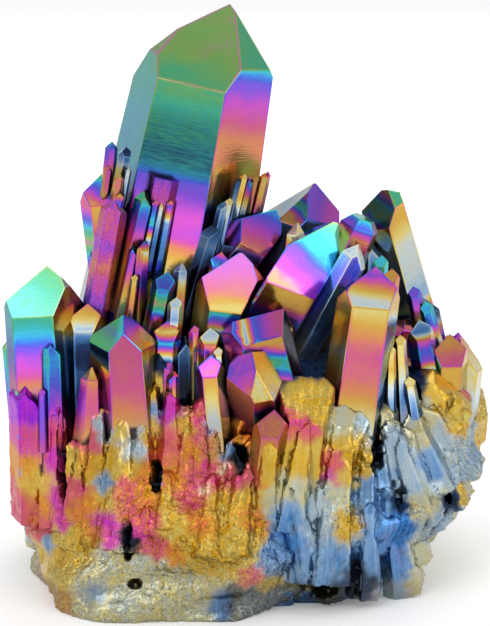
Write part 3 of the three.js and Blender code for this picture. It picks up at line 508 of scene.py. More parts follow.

# Faces with colours of their own: the way that their colours run, in degrees from straight down to the
# right, and (mm from the tip, colour, tone) down that way.
# Their tone is painted light and shade, as in the washes.
FACETS = {
    ("main", "end0"): (-10, [(0.5, "olive", 0.05), (8.5, "olive", 0), (13, "green", 0)]),
    ("main", "end1"): (20, [(1.5, "green", 0.1), (9, "green", 0.1), (10, "teal", 0.1)]),
    ("main", "end5"): (-10, [(5.5, "olive", 0.1), (9.5, "olive", 0)]),
    ("main", "side0"): (0, [
        (13.5, "green", 0.05), (16, "green", -0.05), (17, "teal", 0.05), (19, "teal", -0.25),
        (22, "teal", -0.45), (25, "cyan", -0.6), (28, "cyan", -0.55), (28.5, "indigo", 0.1),
        (32, "violet", 0.1), (35.5, "magenta", 0.5), (39.5, "magenta", 0.45), (41, "orange", 0.45),
        (43, "gold", 0.45), (48, "silver", 0.15), (52.5, "navy", -0.05)]),
    ("main", "side1"): (-5, [
        (10, "cyan", 0.2), (11, "indigo", 0.3), (13, "violet", 0.25), (16, "magenta", 0.15),
        (19, "rose", 0.05), (21.5, "orange", 0.1), (25.5, "orange", 0.3), (28, "gold", 0.3),
        (30, "orange", 0), (31.5, "gold", -0.5), (35, "black", -0.8)]),
    ("main", "side5"): (15, [
        (13, "teal", -0.05), (20, "cyan", -0.25), (28.5, "cyan", -0.3), (32.5, "blue", -0.1),
        (35.5, "indigo", 0.25), (38, "violet", 0.15), (40.5, "magenta", 0.1), (43, "gold", 0.1),
        (45.5, "silver", 0)]),
    ("left_point", "end0"): (-35, [
        (1.5, "green", 0.75), (4, "teal", 0.85), (7.5, "teal", 0.9), (9.5, "cyan", 0.8)]),
    ("left_point", "end1"): (10, [(2.5, "cyan", 0.95), (4, "cyan", 1.05)]),
    ("left_point", "side0"): (0, [
        (9.5, "teal", 0.2), (11, "cyan", 0.2), (12.5, "blue", 0.5), (14, "violet", 0.55),
        (16, "magenta", 0.55), (18, "magenta", 0.4), (19, "rose", 0.3), (20, "orange", 0.25),
        (21, "gold", 0.2), (26, "rose", 0)]),
    ("left_point", "side1"): (-20, [
        (5, "gold", -0.2), (6.5, "rose", -0.1), (8.5, "gold", -0.1), (11, "gold", 0.1), (14, "steel", 0)]),
    ("left_point", "side5"): (-5, [
        (9, "cyan", -0.3), (12.5, "blue", -0.4), (17, "violet", -0.4), (20, "rose", -0.3)]),
    ("pink_yellow", "end0"): (5, [
        (1, "magenta", 1), (3.5, "magenta", 1), (6, "rose", 0.95), (8, "orange", 0.8), (9, "cream", 0.6)]),
    ("pink_yellow", "side0"): (0, [
        (10, "teal", -0.1), (11.5, "blue", -0.3), (14, "navy", -0.5), (16.5, "black", -0.6)]),
    ("pink_yellow", "side1"): (-30, [(4.5, "black", -0.7), (7.5, "black", -0.7), (11, "navy", -0.5)]),
    ("pink_yellow", "end1"): (15, [(3, "gold", 0.2), (5, "gold", 0.1)]),
    ("magenta_facet", "end0"): (5, [
        (1.5, "blue", 0.2), (2, "indigo", 0.15), (3.5, "violet", 0.1), (5, "magenta", 0), (6.5, "rose", 0.05),
        (7.5, "orange", 0.1)]),
    ("magenta_facet", "end1"): (60, [(-7.5, "mauve", 0.3), (-2, "rose", 0.1)]),
    ("magenta_facet", "side0"): (15, [(7, "gold", -0.2), (9, "navy", -0.5)]),
    ("shelf", "end0"): (-20, [
        (1, "green", 0.8), (2, "teal", 0.75), (4, "cyan", 0.65), (6, "cyan", 0.6), (7.8, "violet", 0.5),
        (9, "violet", 0.5), (10.6, "magenta", 0.45), (11.6, "magenta", 0.5), (12, "rose", 0.95),
        (12.5, "orange", 0.75)]),
    ("shelf", "end4"): (75, [(-3, "cyan", 0.5), (4.5, "violet", 0.4), (17, "magenta", 0.4)]),
    ("shelf", "side0"): (5, [(13, "gold", 0), (15, "gold", -0.2), (18.5, "blue", -0.3), (23, "navy", -0.5)]),
    ("shelf", "side5"): (20, [
        (12.5, "gold", 0), (14.5, "olive", -0.1), (16.5, "navy", -0.5), (20.5, "black", -0.6)]),
    ("centre_magenta", "end0"): (85, [
        (-4.5, "indigo", 0.2), (-3.5, "steel", 0.1), (-2, "blue", 0.1), (-1, "violet", -0.05),
        (1, "magenta", -0.15), (2.5, "rose", -0.2)]),
    ("centre_magenta", "side0"): (-20, [
        (7.5, "gold", -0.1), (10, "olive", -0.2), (13.5, "orange", 0), (17, "gold", 0.05), (20, "gold", 0.1),
        (24.5, "silver", -0.2)]),
    ("centre_magenta", "side1"): (-40, [(4.5, "black", -0.6), (8, "navy", -0.6), (15, "navy", -0.5)]),
    ("centre_magenta", "end1"): (-50, [(6.5, "gold", 0.2), (8.5, "gold", 0.1)]),
    ("back_top", "end0"): (55, [
        (-0.5, "violet", 0.15), (2, "violet", -0.05), (4.5, "magenta", -0.1), (5.5, "magenta", 0)]),
    ("back_top", "end5"): (-25, [(2, "rose", -0.65), (3.5, "olive", -0.6), (5.5, "gold", -0.45)]),
    ("back_top", "end4"): (-10, [(2, "silver", -0.1), (4.5, "ice", -0.15), (7.5, "silver", -0.2)]),
    ("back_top", "side0"): (10, [(5.5, "navy", -0.3), (8, "black", -0.6)]),
    ("back_top", "side5"): (0, [(7, "navy", -0.4), (10, "black", -0.6)]),
    ("back_top", "side4"): (30, [(8, "rose", 0.1), (12, "gold", -0.2)]),
    ("right_back", "end0"): (-30, [
        (-2, "gold", -0.75), (0.5, "olive", -0.8), (2.5, "olive", -0.8), (3, "gold", -0.7)]),
    ("right_back", "end1"): (-25, [(-0.5, "teal", 0.1), (1, "green", -0.05)]),
    ("right_back", "side0"): (5, [
        (4.5, "gold", -0.3), (6.5, "silver", -0.05), (10.5, "silver", 0), (17, "ice", -0.05),
        (23.5, "steel", 0)]),
    ("right_back", "side1"): (0, [
        (4.5, "gold", 0.15), (6.5, "cream", 0.15), (9, "silver", 0.1), (14.5, "silver", 0), (20, "ice", 0),
        (24.5, "violet", 0)]),
    ("long_prism", "end0"): (-5, [
        (1, "rose", 0.25), (2.5, "violet", 0.2), (4, "orange", 0.25), (6, "silver", 0.25)]),
    ("long_prism", "end1"): (-5, [(1, "cyan", 0.6), (2.5, "rose", 0.6), (4, "magenta", 0.5)]),
    ("long_prism", "side0"): (0, [
        (6, "silver", 0.25), (7.5, "cream", 0.15), (10, "gold", 0.2), (13, "orange", 0.15),
        (14.5, "rose", 0.1), (18, "rose", 0.15), (21, "orange", 0.1), (23.5, "gold", 0.1),
        (26.5, "cream", 0.1), (31, "ice", 0)]),
    ("long_prism", "side1"): (-5, [
        (4, "gold", 0.1), (8, "gold", 0), (10, "navy", -0.2), (14, "silver", -0.1), (19, "steel", 0)]),
    ("long_prism", "side5"): (0, [
        (7, "cream", 0.4), (10.5, "gold", 0.25), (15.5, "silver", 0.2), (20.5, "orange", 0.1)]),
    ("cyan_facet", "end0"): (-20, [(1.5, "cyan", 0.6), (4.5, "cyan", 0.7), (6, "cyan", 0.6)]),
    ("cyan_facet", "end1"): (-30, [(2, "violet", 0.3), (5, "cyan", 0.4)]),
    ("cyan_facet", "end2"): (10, [(2.5, "violet", 0.1), (4, "orange", 0.1), (5.5, "gold", -0.1)]),
    ("cyan_facet", "side0"): (-10, [
        (7.5, "navy", -0.2), (10, "rose", 0), (15.5, "magenta", 0.05), (23, "orange", 0.05)]),
    ("cyan_facet", "side1"): (-5, [
        (7, "rose", -0.1), (9.5, "rose", -0.05), (13, "rose", 0), (16, "orange", 0.05), (21.5, "gold", 0.1),
        (28.5, "gold", 0)]),
    ("cyan_facet", "side2"): (-15, [
        (6.5, "gold", -0.1), (10, "silver", -0.1), (15, "gold", 0.05), (21.5, "ice", 0.05)]),
    ("front_facing", "end5"): (45, [
        (-1.5, "magenta", 0.1), (0, "violet", 0.1), (2.5, "magenta", 0.15), (4.5, "orange", 0.1)]),
    ("front_facing", "end0"): (40, [(-0.5, "gold", 0.15), (1.5, "cream", 0.15), (4, "cream", 0.1)]),
    ("front_facing", "end1"): (-30, [(1, "gold", 0.25), (4, "cream", 0.3), (6, "silver", 0.2)]),
    ("front_facing", "side0"): (0, [(6, "gold", 0.05), (11, "olive", -0.1)]),
    ("front_facing", "side5"): (0, [(6.5, "orange", 0.1), (13.5, "rose", 0.05), (18.5, "gold", 0)]),
    ("gold_body", "end0"): (15, [(0.5, "indigo", 0.35), (1.5, "magenta", 0.25), (2.5, "rose", 0.3)]),
    ("gold_body", "side5"): (0, [(3, "magenta", 0.1), (7, "rose", 0.1), (12.5, "rose", 0)]),
    ("gold_body", "side0"): (0, [
        (3, "orange", 0.3), (4.5, "gold", 0.35), (7.5, "cream", 0.25), (11, "silver", 0)]),
    ("gold_body", "side1"): (-5, [(3, "cream", 0.7), (7, "silver", 0.35), (11.5, "silver", 0)]),
    ("right_mass", "side0"): (10, [(6, "gold", 0.1), (15, "gold", 0.05)]),
    ("right_mass", "side5"): (5, [(2.5, "teal", -0.35), (12, "teal", -0.45)]),
    ("right_mass", "end0"): (0, [(1.5, "gold", 0), (4.5, "rose", 0.05)]),
    ("right_mass", "end5"): (35, [(1, "steel", 0.1), (4.5, "teal", -0.3)]),
    ("shoulder", "end0"): (-30, [
        (1, "teal", 0.2), (2.5, "indigo", 0.3), (3.5, "violet", 0.25), (4, "magenta", 0.25),
        (5, "orange", 0.2), (5.5, "gold", 0.2)]),
    ("shoulder", "side0"): (0, [
        (5.5, "gold", 0.2), (7, "gold", 0.2), (9.5, "orange", 0.1), (12.5, "rose", 0.05), (16.5, "mauve", 0),
        (22, "violet", -0.1)]),
    ("shoulder", "side5"): (0, [
        (6, "rose", 0.2), (12, "mauve", 0.2), (17, "rose", 0.1), (21.5, "violet", 0)]),
    ("shoulder", "side1"): (-5, [(5, "navy", -0.4), (11.5, "navy", -0.5)]),
}

# Where the coating is coloured by its place on the cluster, on the fused columns and the rock: colour,
# tone, the middle of the patch and its radius in mm.
PATCHES = [
    # the left-hand fused column
    ("violet", 0.1, (-37, -15, 33), 3), ("violet", 0.05, (-36, -15, 32), 3),
    ("magenta", 0, (-37, -15, 28), 3), ("rose", 0, (-35, -15, 29), 3), ("orange", 0, (-37, -15, 23), 3.5),
    ("gold", 0, (-35, -15, 21), 3.5), ("rose", -0.05, (-38, -10, 16), 3.5),
    ("magenta", 0.1, (-32, -16, 24), 2.5), ("magenta", 0.05, (-32, -18, 18), 2.5),
    ("steel", 0.45, (-38, -14, 22), 1.2), ("orange", 0, (-34, -16, 17), 3),
    ("rose", -0.1, (-34, -16, 14), 2),
    # the orange column and the banded one beside it
    ("rose", 0.1, (-30, -14, 27), 1.5), ("gold", 0, (-29, -19, 25), 2.5), ("rose", 0.05, (-29, -20, 20), 3),
    ("orange", 0, (-27, -21, 18), 3), ("magenta", 0.1, (-30, -20, 15), 2),
    ("magenta", 0.05, (-27, -19, 34), 3), ("rose", 0, (-26, -19, 29), 2.5),
    ("orange", 0.05, (-26, -19, 25), 2), ("gold", 0, (-24, -18, 35), 2.5),
    ("silver", -0.05, (-23, -19, 31), 2.5), ("gold", -0.05, (-25, -19, 24), 3),
    ("ice", -0.15, (-23, -21, 22), 2),
    # under the cyan face
    ("rose", 0, (-21, -20, 36), 3), ("orange", 0.05, (-19, -21, 37), 3), ("gold", 0.05, (-20, -20, 31), 3),
    ("rose", 0, (-19, -20, 34), 2.5), ("silver", -0.05, (-19, -20, 28), 2.5),
    ("ice", -0.05, (-18, -20, 31), 2), ("gold", -0.05, (-21, -20, 26), 3), ("gold", 0, (-16, -19, 37), 2.5),
    ("ice", -0.15, (-16, -20, 34), 2.5), ("gold", -0.05, (-16, -20, 31), 2.5),
    ("orange", 0, (-15, -19, 29), 2), ("silver", -0.1, (-14, -17, 30), 2),
    # the rough pink columns, and painted shade in the dark hole in the middle
    ("magenta", 0.05, (-12, -20, 34), 2.5), ("rose", 0, (-12, -20, 29), 3),
    ("gold", -0.1, (-10, -20, 32), 2.5), ("orange", 0, (-10, -20, 28), 3),
    ("rose", 0.1, (-7, -21, 33), 2.5), ("rose", 0, (-6, -20, 29), 2.5), ("ice", -0.05, (-5, -21, 32), 2),
    ("gold", -0.1, (-5, -20, 29), 2.5), ("ice", 0.1, (-3, -22, 28), 1.8),
    ("black", -0.8, (-1, -23, 27), 2.2), ("steel", 0.4, (-14, -22, 23), 1.2),
    ("cream", 0.4, (-7, -24, 22), 1.3), ("cream", 0.4, (-3, -22, 25), 1.3), ("rose", 0, (-1, -24, 25), 3.5),
    ("orange", -0.05, (0, -21, 30), 2.5), ("gold", -0.05, (0, -24, 20), 3.5), ("gold", 0, (3, -26, 27), 3),
    ("cream", -0.1, (4, -23, 20), 3),
    # the druse
    ("gold", 0, (-19, -20, 24), 2.5), ("orange", 0, (-16, -21, 23), 2.5), ("rose", 0.05, (-19, -23, 20), 3),
    ("orange", 0, (-16, -24, 20), 3), ("rose", 0.1, (-15, -26, 17), 2.5), ("gold", 0, (-22, -22, 19), 3),
    ("magenta", 0.15, (-23, -23, 16), 2.5), ("magenta", 0.2, (-22, -25, 13), 2),
    ("orange", -0.05, (-25, -24, 14), 2.5), ("gold", 0.1, (-13, -25, 20), 2.2),
    ("gold", -0.05, (-12, -27, 17), 3), ("rose", 0.05, (-9, -24, 20), 2.8), ("rose", 0, (-8, -22, 23), 3),
    ("orange", 0, (-11, -22, 23), 2.5), ("orange", -0.05, (-7, -27, 17), 3),
    ("gold", -0.05, (-9, -28, 14), 3), ("orange", 0, (-11, -28, 12), 2),
    ("rose", -0.05, (-15, -28, 13), 2.5), ("gold", -0.1, (-4, -26, 18), 3),
    ("gold", -0.15, (-1, -28, 14), 4), ("orange", -0.1, (1, -26, 17), 3),
    # painted shade in a pit of the druse
    ("black", -0.9, (-19, -25, 13), 1.8), ("magenta", 0.2, (-17, -27, 15), 1.3),
    ("gold", -0.15, (-7, -29, 11), 3),
    # the rock below it
    ("gold", -0.1, (-28, -22, 11), 4), ("cream", -0.15, (-22, -26, 8), 5),
    ("cream", -0.15, (-16, -27, 5), 5), ("ice", -0.3, (-24, -25, 5), 2.2),
    ("silver", -0.3, (-20, -27, 5), 2.5), ("cream", -0.2, (-10, -28, 4), 5),
    ("steel", 0.25, (-4, -28, 3), 2.5), ("navy", -0.3, (-1, -28, 3), 2.5),
    ("gold", -0.1, (-32, -21, 8), 3.5), ("gold", 0, (-35, -17, 7), 3), ("rose", -0.1, (-36, -17, 11), 2),
    ("ice", -0.15, (-34, -19, 10), 2), ("orange", -0.25, (-31, -20, 1), 3), ("steel", -0.3, (1, -26, 3), 3),
    ("gold", 0, (4, -26, 6), 2), ("rose", -0.05, (2, -28, 8), 2), ("ice", -0.15, (5, -26, 10), 3),
    # right of the middle, from the stepped face down
    ("orange", 0.1, (4, -27, 34), 2.5), ("rose", 0.05, (7, -26, 32), 2.5), ("gold", 0.1, (5, -28, 31), 2.5),
    ("gold", 0, (8, -24, 29), 3), ("rose", 0.05, (9, -24, 32), 2.5), ("gold", -0.1, (12, -22, 36), 3),
    ("gold", 0, (10, -24, 26), 3), ("cream", -0.1, (9, -24, 22), 3), ("ice", -0.05, (7, -24, 18), 3),
    ("steel", 0.25, (9, -24, 13), 3), ("silver", -0.1, (12, -23, 19), 3),
    ("silver", -0.15, (12, -23, 14), 4), ("ice", -0.1, (13, -24, 11), 3.5),
    ("rose", 0.1, (15, -22, 26), 1.8), ("magenta", 0.1, (15, -21, 23), 1.8),
    ("gold", 0, (17, -21, 23), 2.5), ("gold", 0.05, (18, -21, 28), 3), ("cream", 0, (17, -19, 32), 3),
    ("cream", -0.05, (16, -23, 20), 2.5), ("silver", -0.05, (13, -23, 18), 2.5),
    ("gold", -0.15, (17, -23, 15), 3), ("silver", 0.5, (18, -22, 12), 1.2),
    # the silver-blue columns
    ("silver", 0.3, (20, -19, 32), 2), ("silver", 0.15, (21, -17, 28), 2), ("gold", 0, (21, -20, 25), 2),
    ("ice", -0.05, (21, -20, 20), 3), ("ice", 0, (22, -22, 16), 3), ("ice", 0, (20, -22, 11), 3),
    ("ice", 0, (24, -17, 22), 2.5), ("navy", -0.3, (25, -19, 18), 2), ("cream", 0.2, (23, -15, 30), 2),
    ("silver", -0.1, (25, -17, 28), 2.5), ("silver", -0.1, (26, -17, 24), 3),
    ("silver", -0.05, (28, -16, 21), 3), ("cream", -0.2, (27, -13, 31), 3),
    ("cream", -0.15, (30, -14, 29), 3), ("silver", -0.1, (33, -11, 27), 3),
    ("ice", -0.05, (31, -14, 24), 3), ("silver", 0.5, (32, -15, 19), 1.4),
    ("silver", -0.15, (35, -11, 23), 3), ("gold", -0.05, (37, -11, 17), 1.2),
    # painted shade in a small pit
    ("navy", -0.5, (35, -13, 16), 1.5), ("cream", -0.25, (31, -17, 17), 3),
    ("silver", -0.3, (32, -15, 12), 4), ("cream", -0.12, (30, -15, 9), 3.5),
    # the blue foot
    ("steel", 0.75, (24, -21, 14), 3), ("steel", 0.7, (26, -17, 8), 3), ("steel", 0.3, (27, -20, 13), 2.5),
    ("ice", -0.15, (24, -16, 6), 2.5), ("gold", -0.3, (26, -15, 4), 1.5), ("rose", -0.6, (28, -13, 4), 1.5),
    ("silver", -0.35, (23, -15, 3), 2.5), ("navy", -0.2, (17, -21, 7), 3),
    # painted shade in the pit at the foot
    ("black", -0.6, (13, -20, 5), 3.5), ("navy", -0.2, (15, -18, 2), 2.5),
    ("steel", -0.2, (9, -19, 2), 2.5),
    # the right-hand rim
    ("gold", 0, (35, -9, 35), 3), ("gold", -0.05, (37, -11, 30), 3), ("rose", 0, (38, -5, 36), 2.2),
    ("silver", 0, (41, 0, 32), 3), ("silver", -0.2, (40, -5, 27), 3), ("silver", -0.25, (38, -8, 24), 3),
    ("rose", 0.1, (39, -2, 39), 2), ("gold", -0.2, (14, -22, 36), 3),
    # the hollow behind the front crystals, painted navy and black as shade
    ("navy", -0.5, (13, -11, 40), 6), ("navy", -0.5, (21, -8, 38), 6), ("navy", -0.4, (1, -8, 43), 6),
    ("black", -0.6, (8, 2, 42), 7), ("navy", -0.5, (-14, -9, 40), 6), ("navy", -0.4, (-25, -8, 38), 5),
    # the sides and the back
    ("gold", 0, (38, 8, 26), 9), ("cream", -0.15, (34, 8, 8), 12), ("rose", 0, (26, 22, 26), 9),
    ("gold", -0.1, (10, 28, 28), 9), ("ice", 0, (18, 26, 16), 8), ("magenta", 0, (-4, 28, 26), 8),
    ("gold", 0, (-16, 27, 26), 8), ("orange", 0, (-28, 18, 26), 9), ("violet", 0, (-34, 6, 28), 8),
    ("silver", 0, (-38, 4, 18), 8), ("rose", -0.1, (-26, 24, 16), 8), ("cream", -0.15, (-30, 18, 6), 11),
    ("gold", -0.3, (-8, 28, 10), 10), ("cream", -0.2, (10, 27, 6), 11), ("steel", -0.3, (24, 24, 8), 8),
]

# ---- Reading and writing a mesh --------------------------------------------------------------


def read(items, name, width=1, kind=float):
    """A value, or a row of that width, of each point, edge, face or corner of a mesh."""
    values = np.empty(len(items) * width, kind)
    items.foreach_get(name, values)
    return values.reshape(-1, width) if width > 1 else values


def write(mesh, name, values, domain="CORNER"):
    """Keeps a value, or a row of three, for each corner or point of a mesh."""
    kind, slot = ("FLOAT_VECTOR", "vector") if values.ndim == 2 else ("FLOAT", "value")
    layer = mesh.attributes.get(name) or mesh.attributes.new(name, kind, domain)
    layer.data.foreach_set(slot, values.astype(np.float32).ravel())


def corner_places(mesh):
    """Each face corner's place in mm, and the index of its face."""
    corner = read(mesh.loops, "vertex_index", kind=int)
    sizes = read(mesh.polygons, "loop_total", kind=int)
    return read(mesh.vertices, "co", 3)[corner] / MM, np.repeat(np.arange(len(sizes)), sizes)


def select_only(obj):
    bpy.ops.object.select_all(action="DESELECT")
    obj.select_set(True)
    bpy.context.view_layer.objects.active = obj


def keep_inside(mesh):
    """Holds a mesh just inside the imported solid's own box."""
    low, high = np.array(packed_box[0]) + CLEARANCE * MM, np.array(packed_box[1]) - CLEARANCE * MM
    low[2] = 0
    mesh.vertices.foreach_set("co", np.clip(read(mesh.vertices, "co", 3), low, high).ravel())
    mesh.update()


def join(objects, name):
    bpy.ops.object.select_all(action="DESELECT")
    for obj in objects:
        obj.select_set(True)
    bpy.context.view_layer.objects.active = objects[0]
    if len(objects) > 1:
        bpy.ops.object.join()
    objects[0].name = name
    objects[0].data.name = name
    objects[0].data.validate()
    return objects[0]


# ---- Sawing a crystal ------------------------------------------------------------------------


def saw(point, normal, keep_both=False):
    """Cuts the whole mesh in edit mode along a plane, in mm, and caps it, or only marks the line."""
    bpy.ops.mesh.select_all(action="SELECT")
    bpy.ops.mesh.bisect(plane_co=point * MM, plane_no=normal, use_fill=not keep_both,
                        clear_outer=not keep_both, threshold=CUT_EXACTNESS)


def column(crystal):
    """A six-sided column along the crystal's axis, larger than the crystal on every side."""
    reach = max(crystal.sides) + crystal.long * math.tan(crystal.taper) + 1
    head = 2 * max(abs(drop) for drop in crystal.drops) + 2 * max(crystal.sides) + 1
    middle = crystal.tip + crystal.up * (head - crystal.long) / 2
    turned = Matrix((crystal.front, crystal.right, crystal.up)).transposed().to_euler()
    bpy.ops.object.select_all(action="DESELECT")
    bpy.ops.mesh.primitive_cylinder_add(
        vertices=6, radius=BLANK_SPARE * reach * MM, depth=(crystal.long + head) * MM,
        location=middle * MM, rotation=turned)
    blank = bpy.context.object
    blank.name = crystal.name
    bpy.ops.object.transform_apply(location=True, rotation=True, scale=True)
    return blank


def sawn(crystal):
    """The crystal sawn out of its column, still in edit mode."""
    obj = column(crystal)
    bpy.ops.object.mode_set(mode="EDIT")
    for normal, point, _ in crystal.faces.values():
        saw(point, normal)
    return obj


def rim_width(crystal):
    return RIM if min(crystal.sides) > SLENDER else RIM * 0.5


def grow(crystal, ring_step):
    """The crystal with its worn edges, a strip for the coating's rim round each face, and rings."""
    obj = sawn(crystal)
    saw(Vector((0, 0, 0)), DOWN)
    bpy.ops.object.mode_set(mode="OBJECT")
    half = min(crystal.sides)
    if half > HAIR_THIN:
        frame_faces(obj, rim_width(crystal))
    bpy.ops.object.mode_set(mode="EDIT")
    bpy.ops.mesh.select_mode(type="EDGE")
    bpy.ops.mesh.select_all(action="DESELECT")
    bpy.ops.mesh.edges_select_sharp(sharpness=SHARP_EDGE)
    bpy.ops.mesh.bevel(offset=WORN_EDGE * min(1, half / 2) * MM, segments=1, affect="EDGES")
    below = FIRST_RING
    while below < crystal.long - 1:
        saw(crystal.tip - crystal.up * below, crystal.up, keep_both=True)
        below += ring_step
    if max(crystal.sides) > BROAD:
        for step in LENGTHWISE_LINES:
            for way in (crystal.right, crystal.front):
                saw(crystal.tip + way * step * ring_step, way, keep_both=True)
    bpy.ops.object.mode_set(mode="OBJECT")
    return obj


def frame_faces(obj, width):
    """Sets a strip of that width in mm inside the edges of each face that is wide enough for it."""
    select_only(obj)
    bpy.context.tool_settings.mesh_select_mode = (False, False, True)
    for face in obj.data.polygons:
        rim = sum((obj.data.vertices[a].co - obj.data.vertices[b].co).length for a, b in face.edge_keys)
        face.select = 2 * face.area / rim > RIM_NEEDS * width * MM
    bpy.ops.object.mode_set(mode="EDIT")
    bpy.ops.mesh.inset(thickness=width * MM, use_individual=True, use_even_offset=True)
    bpy.ops.object.mode_set(mode="OBJECT")


# ---- Painting the film's thickness -----------------------------------------------------------

PATCH_FALL = 0.42  # how far a patch holds before the next one takes over, against its radius squared
PATCH_WANDER = 0.3  # mm, how far the patches' borders wander
PATCH_BORDER = 1.25  # above 1 the borders are sharper
FAR_SHARE = 1e-4  # what a patch still says far away, so that every place has a colour
END_FACE_MARKS, SIDE_FACE_MARKS = 0.15, 0.8  # how strongly the level lines of growth show
MARKS_RISE, MARKS_FALL = (18, 21), (26, 29)  # mm from the main point's tip, round its deepest lines


def smooth(values, low, high):
    """A smooth rise from 0 at low to 1 at high."""
    t = np.clip((values - low) / (high - low), 0, 1)
    return t * t * (3 - 2 * t)


def wash_stops(crystal, face):
    """(angle, [(mm, film, tone), ...]) of a crystal's face."""
    if (crystal.name, face) in FACETS:
        angle, stops = FACETS[crystal.name, face]
        return angle, [(far, FILM[colour][0], tone) for far, colour, tone in stops]
    colours, length, tone = WASHES[crystal.name]
    films = [FILM[colour][0] for colour in colours.split()]
    number = int(face[-1]) if face[-1].isdigit() else 6
    offset = FACE_VARIES * (2 * spread(len(crystal.name) + 7 * number + crystal.long) - 1)
    stops = [(length * n / (len(films) - 1), film + offset, tone) for n, film in enumerate(films)]
    return 0, stops


def patch_shares(place):
    """How much each patch has to say at each place, adding up to 1. Their borders wander a little."""
    x, y, z = place.T
    wander = np.stack([
        np.sin(1.9 * z + 0.8 * y) + 0.7 * np.sin(3.7 * z - 1.3 * x), np.sin(1.7 * x + 1.1 * z),
        np.sin(1.5 * x - 0.7 * z) + 0.8 * np.sin(3.1 * x + 0.9 * y)], 1)
    shares = []
    for _, _, middle, radius in PATCHES:
        away = ((place + PATCH_WANDER * wander - np.array(middle)) ** 2).sum(1)
        shares.append(np.exp(-away / (PATCH_FALL * radius**2)) + FAR_SHARE / (1 + away))
    shares = (np.array(shares) / np.sum(shares, 0)) ** PATCH_BORDER
    return shares / shares.sum(0)


def patch_tone(shares):
    """The tone that the patches give to each place."""
    return np.array([tone for _, tone, _, _ in PATCHES]) @ shares


def patch_shades(shares, shift):
    """The patches' colours, mixed as light is, with the film that much thicker than named."""
    scale, shades = zip(*FILM.values())
    shades = np.array(shades)
    film = np.array([FILM[colour][0] + shift for colour, _, _, _ in PATCHES])
    own = np.stack([np.interp(film, scale, shades[:, n]) for n in range(3)])
    return (own @ shares).T


def growth_marks(crystal, key, fall):
    """How strongly the level lines of growth show down a face: faintly on the end faces."""
    if key.startswith("end"):
        return np.full(len(fall), END_FACE_MARKS)
    if (crystal.name, key) == ("main", "side0"):
        return 0.7 + 3 * smooth(fall, *MARKS_RISE) * (1 - smooth(fall, *MARKS_FALL))
    return np.full(len(fall), SIDE_FACE_MARKS)


def paint(obj, crystal):
    """Writes the film, tone, rim, coarseness and growth direction on each corner of a crystal."""
    mesh = obj.data
    place, owner = corner_places(mesh)
    normals, points, across = crystal.planes()
    facing = (read(mesh.polygons, "normal", 3) @ normals.T).argmax(1)[owner]
    tip = np.array(crystal.tip)
    fall = (tip - place) @ np.array(crystal.up)
    aside = ((place - tip) * across[facing]).sum(1)
    film, tone, marks = np.zeros(len(place)), np.zeros(len(place)), np.zeros(len(place))
    for n, key in enumerate(crystal.faces):
        mine = facing == n
        angle, stops = wash_stops(crystal, key)
        run = fall[mine] * math.cos(math.radians(angle)) + aside[mine] * math.sin(math.radians(angle))
        far, films, tones = zip(*stops)
        film[mine] = np.interp(run, far, films)
        tone[mine] = np.interp(run, far, tones)
        marks[mine] = growth_marks(crystal, key, fall[mine])
    # how far each corner stands from the nearest edge of its own face
    slack = (points * normals).sum(1) - place @ normals.T
    lean = normals[facing] @ normals.T
    reach = slack / np.sqrt(np.maximum(1e-6, 1 - lean**2))
    reach[np.arange(len(place)), facing] = FAR_AWAY
    rim = np.clip(1 - reach.min(1) / rim_width(crystal), 0, 1)
    # lower down, the crystal is fused to its neighbours and takes the cluster's own colours
    fused_below = FUSED_BELOW.get(crystal.name, FUSED_BELOW_ELSEWHERE)
    low = (1 - smooth(place[:, 2], *fused_below)) * smooth(fall, *FREE_TIP)
    etched = ROUGH.get(crystal.name, 0)
    shares = patch_shares(place)
    varied = TONE_VARIES * (crystal.varied()[facing] - 0.5)
    write(mesh, "film", film)
    write(mesh, "tone", tone * (1 - low) + (patch_tone(shares) + varied) * low)
    write(mesh, "marks", marks)
    write(mesh, "rim", rim * (1 - 0.5 * low) * (1 - etched))
    write(mesh, "coarse", np.maximum(low * FUSED_COARSENESS, etched))
    write(mesh, "low", low)
    write(mesh, "thin", patch_shades(shares, THINNER))
    write(mesh, "thick", patch_shades(shares, THICKER))
    write(mesh, "grain", np.stack([aside, fall, np.full(len(place), crystal.seed())], 1))


def add_piece(name, crystals):
    grown = []
    for crystal in crystals:
        obj = grow(crystal, RING_STEP if max(crystal.sides) > SLENDER else 2 * RING_STEP)
        keep_inside(obj.data)
        paint(obj, crystal)
        grown.append(obj)
    return join(grown, name)


# ---- The rock they grew from -----------------------------------------------------------------

# The rock's wall at each height in mm, and how far it stands from the middle on its left, right, front
# and back.
WALL = [
    (0, 36.5, 31, 27, 27), (5, 38.2, 33.5, 28.5, 28.5), (10, 38.8, 35.5, 26.5, 29),
    (15, 39.2, 38.5, 24, 29), (21, 39, 39.3, 20.5, 28), (27, 36, 39, 17, 26), (33, 32, 34, 14, 22),
    (39, 23, 24, 10, 16), (44, 6, 6, 5, 7),
]
# The resting face's outline: (bearing in degrees from the right, reach in mm).
RESTING_OUTLINE = [
    (-180, 38.4), (-158, 38), (-146, 38.6), (-134, 36.4), (-122, 33.4), (-110, 30.6), (-98, 29),
    (-86, 25.8), (-76, 22), (-62, 20.5), (-48, 21.5), (-34, 25.5), (-16, 29), (8, 31.8), (30, 34),
    (60, 30), (90, 27), (120, 31), (150, 37), (180, 38.2),
]
